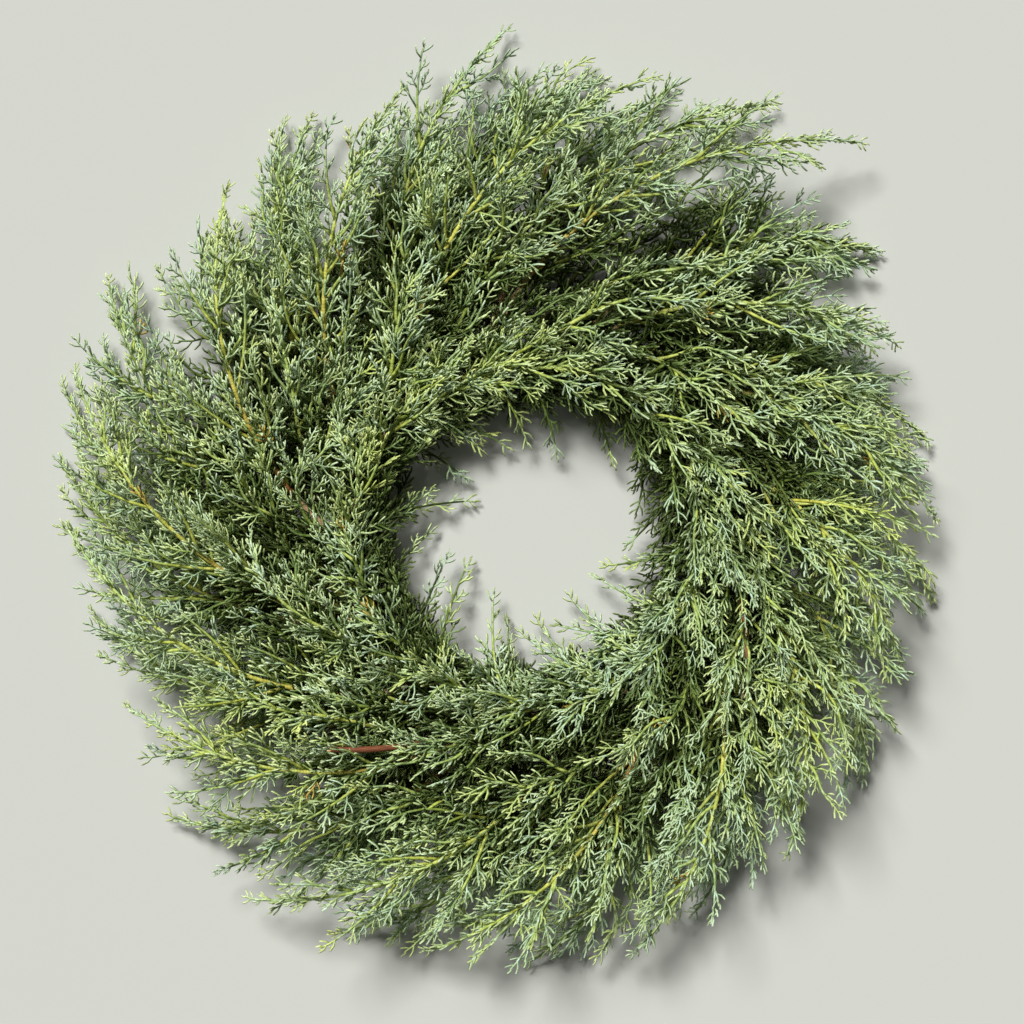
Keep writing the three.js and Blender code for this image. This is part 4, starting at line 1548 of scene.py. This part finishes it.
def growth_group():
    """Colour, roughness and relief of a cypress shoot, by its tone and its distance from the tip; low tones
    are painted shade.
    """
    group = bpy.data.node_groups.new("cypress_growth", "ShaderNodeTree")
    for name in ("Sunned", "Tip Glow"):
        socket = group.interface.new_socket(name, in_out="INPUT", socket_type="NodeSocketFloat")
        socket.min_value, socket.max_value = 0.0, 1.0
    for name, kind in (("Colour", "Color"), ("Roughness", "Float"), ("Relief", "Float")):
        group.interface.new_socket(name, in_out="OUTPUT", socket_type="NodeSocket" + kind)
    given, result = group.nodes.new("NodeGroupInput"), group.nodes.new("NodeGroupOutput")
    split = group.nodes.new("ShaderNodeSeparateXYZ")
    group.links.new(growth_map(group), split.inputs[0])
    tone, age = split.outputs[0], split.outputs[1]

    blue = colour_ramp(group, age, BLUE_SHOOT)
    yellow = colour_ramp(group, age, YELLOW_SHOOT)
    lit = in_range(group, tone, (LIT_TONE, FULLY_YELLOW), (0, 1))
    sunned = calculate(group, "ADD", lit, given.outputs["Sunned"], clamp=True)
    base = mixed_colour(group, sunned, blue, yellow)

    # scale leaves: a ring of them at every pitch, each with shade painted at its foot
    leaf = calculate(group, "FRACT", calculate(group, "MULTIPLY", age, AGE_SPAN / LEAF_PITCH))
    foot = calculate(group, "POWER", leaf, LEAF_FOOT_SHARPNESS)
    across = calculate(group, "MULTIPLY", tone, MOTTLE_ACROSS)
    along = calculate(group, "MULTIPLY", age, AGE_SPAN / MOTTLE_LENGTH)
    mottle = noise(group, combined(group, "ShaderNodeCombineXYZ", across, along), 1, 2, dimensions="2D")
    bright = calculate(group, "MULTIPLY_ADD", mottle, MOTTLE_CONTRAST, MOTTLE_DARKEST)
    leafy = calculate(group, "SUBTRACT", bright, calculate(group, "MULTIPLY", foot, LEAF_FOOT_SHADE))
    # painted shade: what lies in shade is greener as well as darker
    deep = in_range(group, tone, (DEEPEST_TONE, LIT_TONE), (DEEP_SHADE, 1))
    shade = calculate(group, "MULTIPLY", leafy, deep)
    shades = [calculate(group, "POWER", shade, power) for power in SHADE_POWERS]
    shaded = combined(group, "ShaderNodeCombineColor", *shades)
    toned = mixed_colour(group, 1, base, shaded, "MULTIPLY")
    # the growing tips are paler
    from_tip = calculate(group, "MULTIPLY", age, AGE_SPAN / TIP_LENGTH, clamp=True)
    near_tip = calculate(group, "SUBTRACT", 1, from_tip)
    glow = calculate(group, "MULTIPLY", near_tip, given.outputs["Tip Glow"])
    colour = mixed_colour(group, glow, toned, linear(*PALE_TIP))

    group.links.new(colour, result.inputs["Colour"])
    group.links.new(in_range(group, mottle, (0, 1), LEAF_ROUGHNESS), result.inputs["Roughness"])
    group.links.new(calculate(group, "SUBTRACT", 1, foot), result.inputs["Relief"])
    return group


def principled(name):
    """A new material, with its node tree and its shader."""
    material = bpy.data.materials.new(name)
    material.use_nodes = True
    return material, material.node_tree, material.node_tree.nodes["Principled BSDF"]


def add_relief(tree, shader, height, strength, depth):
    bump = tree.nodes.new("ShaderNodeBump")
    bump.inputs["Strength"].default_value = strength
    bump.inputs["Distance"].default_value = depth * MM
    tree.links.new(height, bump.inputs["Height"])
    tree.links.new(bump.outputs["Normal"], shader.inputs["Normal"])


def foliage(name, group, sunned, tip_glow):
    """Living scale leaves; the tiers differ in how sunned they are and how pale their tips."""
    material, tree, shader = principled(name)
    growth = tree.nodes.new("ShaderNodeGroup")
    growth.node_tree = group
    growth.inputs["Sunned"].default_value = sunned
    growth.inputs["Tip Glow"].default_value = tip_glow
    tree.links.new(growth.outputs["Colour"], shader.inputs["Base Color"])
    tree.links.new(growth.outputs["Roughness"], shader.inputs["Roughness"])
    add_relief(tree, shader, growth.outputs["Relief"], 0.6, 0.25)
    shader.inputs["Specular IOR Level"].default_value = 0.35
    return material


def dress_by(tree, shader, pattern, stops, roughness, strength, depth):
    """Takes colour, roughness and relief from one pattern."""
    tree.links.new(colour_ramp(tree, pattern, stops), shader.inputs["Base Color"])
    tree.links.new(in_range(tree, pattern, (0, 1), roughness), shader.inputs["Roughness"])
    add_relief(tree, shader, pattern, strength, depth)


def bark():
    """Orange-brown bark that flakes along the stem, greyer on its ridges."""
    material, tree, shader = principled("cypress_bark")
    mapping = tree.nodes.new("ShaderNodeMapping")
    mapping.inputs["Scale"].default_value = (70, 36, 1)
    tree.links.new(growth_map(tree), mapping.inputs["Vector"])
    flakes = noise(tree, mapping.outputs["Vector"], 1, 6, roughness=0.6)
    stops = [(0.28, (46, 26, 18)), (0.42, (88, 46, 26)), (0.55, (124, 68, 36)), (0.7, (132, 94, 62))]
    dress_by(tree, shader, flakes, stops, roughness=(0.6, 0.9), strength=0.8, depth=0.5)
    return material


def sawn_wood():
    """The pale cut end of a stem, with its fine grain."""
    material, tree, shader = principled("sawn_cypress_wood")
    place = tree.nodes.new("ShaderNodeTexCoord")
    grain = noise(tree, place.outputs["Object"], 1400, 3)
    stops = [(0.3, (168, 124, 84)), (0.5, (214, 178, 132)), (0.7, (232, 206, 166))]
    dress_by(tree, shader, grain, stops, roughness=(0.7, 0.9), strength=0.5, depth=0.2)
    return material


def worn_wire(name, fresh, worn, metallic, roughness):
    """Drawn wire in a thin coat, scuffed in spots and streaks."""
    material, tree, shader = principled(name)
    place = tree.nodes.new("ShaderNodeTexCoord")
    spots = noise(tree, place.outputs["Object"], 260, 5)
    stops = [(0.4, fresh), (0.62, fresh), (0.72, worn)]
    scuffed = roughness + 0.3
    dress_by(tree, shader, spots, stops, roughness=(roughness, scuffed), strength=0.25, depth=0.2)
    shader.inputs["Metallic"].default_value = metallic
    return material


# ---------------------------------------------------------------- floor, light and camera
# places and sizes of lights and floor are in metres, those of the camera in millimetres
CAMERA_OVER = (9.2, -10.3)
CAMERA_HEIGHT = 1640
SENSOR_WIDTH = 36
FOLIAGE_HEIGHT = 40
PICTURE_WIDTH = 635
WINDOW_PLACE = (-0.62, 1.08, 1.58)
WINDOW_STRENGTH = 5.4
WINDOW_WIDTH = 20
WINDOW_COLOUR = (1.0, 0.98, 0.94)
FILL_PLACE = (1.2, -0.9, 1.6)
FILL_STRENGTH = 1.5
FILL_SIZE = 1.6
FILL_COLOUR = (1.0, 1.0, 0.95)
ROOM_LIGHT = 0.07
ROOM_COLOUR = (1.0, 1.0, 0.9, 1)
BACKDROP = (206, 207, 201)
FLOOR_SIZE = 40
FLOOR_COLOUR = (180, 183, 179)


def pale_floor():
    """A wide sheet of pale paper under the wreath."""
    deselect_all()
    bpy.ops.mesh.primitive_plane_add(size=FLOOR_SIZE, location=(0, 0, 0))
    floor = bpy.context.active_object
    floor.name = "studio_floor"
    material, _, shader = principled("pale_paper")
    shader.inputs["Base Color"].default_value = linear(*FLOOR_COLOUR)
    shader.inputs["Roughness"].default_value = 0.9
    floor.data.materials.append(material)


def aimed_light(kind, name, place, strength, colour):
    """A light at a place, turned towards the wreath."""
    deselect_all()
    bpy.ops.object.light_add(type=kind, location=place)
    light = bpy.context.active_object
    light.name = name
    light.data.energy = strength
    light.data.color = colour
    light.rotation_euler = (-Vector(place)).to_track_quat("-Z", "Y").to_euler()
    return light.data


def pale_room():
    """A dim room for the light that comes from all round, with a backdrop as pale as the floor."""
    world = bpy.data.worlds.new("room")
    world.use_nodes = True
    nodes, links = world.node_tree.nodes, world.node_tree.links
    around = nodes["Background"]
    around.inputs["Color"].default_value = ROOM_COLOUR
    around.inputs["Strength"].default_value = ROOM_LIGHT
    backdrop = nodes.new("ShaderNodeBackground")
    backdrop.inputs["Color"].default_value = linear(*BACKDROP)
    seen, which = nodes.new("ShaderNodeLightPath"), nodes.new("ShaderNodeMixShader")
    links.new(seen.outputs["Is Camera Ray"], which.inputs["Fac"])
    links.new(around.outputs[0], which.inputs[1])
    links.new(backdrop.outputs[0], which.inputs[2])
    links.new(which.outputs[0], nodes["World Output"].inputs["Surface"])
    bpy.context.scene.world = world


def light_and_camera():
    window = aimed_light("SUN", "window", WINDOW_PLACE, WINDOW_STRENGTH, WINDOW_COLOUR)
    window.angle = math.radians(WINDOW_WIDTH)
    fill = aimed_light("AREA", "fill", FILL_PLACE, FILL_STRENGTH, FILL_COLOUR)
    fill.size = FILL_SIZE
    pale_room()
    bpy.ops.object.camera_add(location=(CAMERA_OVER[0] * MM, CAMERA_OVER[1] * MM, CAMERA_HEIGHT * MM))
    camera = bpy.context.active_object
    camera.data.sensor_width = SENSOR_WIDTH
    camera.data.lens = SENSOR_WIDTH * (CAMERA_HEIGHT - FOLIAGE_HEIGHT) / PICTURE_WIDTH
    bpy.context.scene.camera = camera
    bpy.context.scene.view_settings.view_transform = "Standard"


# ---------------------------------------------------------------- the wreath
def build_wreath():
    models = {**branchlet_models(), "leader": [leader_model()], "plume": [plume_model()]}
    group = growth_group()
    looks = {
        "low": foliage("low_cypress", group, 0.0, 0.16),
        "high": foliage("high_cypress", group, 0.05, 0.24),
        "inner": foliage("inner_cypress", group, 0.03, 0.16),
    }
    fronds = placed_fronds()
    for tier in TIERS:
        for bunch in range(BUNCHES):
            leafy_spray(tier, bunch, fronds[tier["name"], bunch], models, looks[tier["name"]])
    wood, sawn = bark(), sawn_wood()
    stem, stub = stem_model(wood, sawn), stub_model(wood, sawn)
    for bunch in range(BUNCHES):
        woody_stems(bunch, stem, stub)
    wire_ring(worn_wire("green_enamelled_wire", (58, 74, 60), (120, 124, 118), 0.5, 0.35))
    binding_wire(worn_wire("binding_wire_green", (52, 72, 50), (96, 104, 88), 0.3, 0.4))
    remove([stem, stub, *[model for alike in models.values() for model in alike]])


build_wreath()
pale_floor()
light_and_camera()
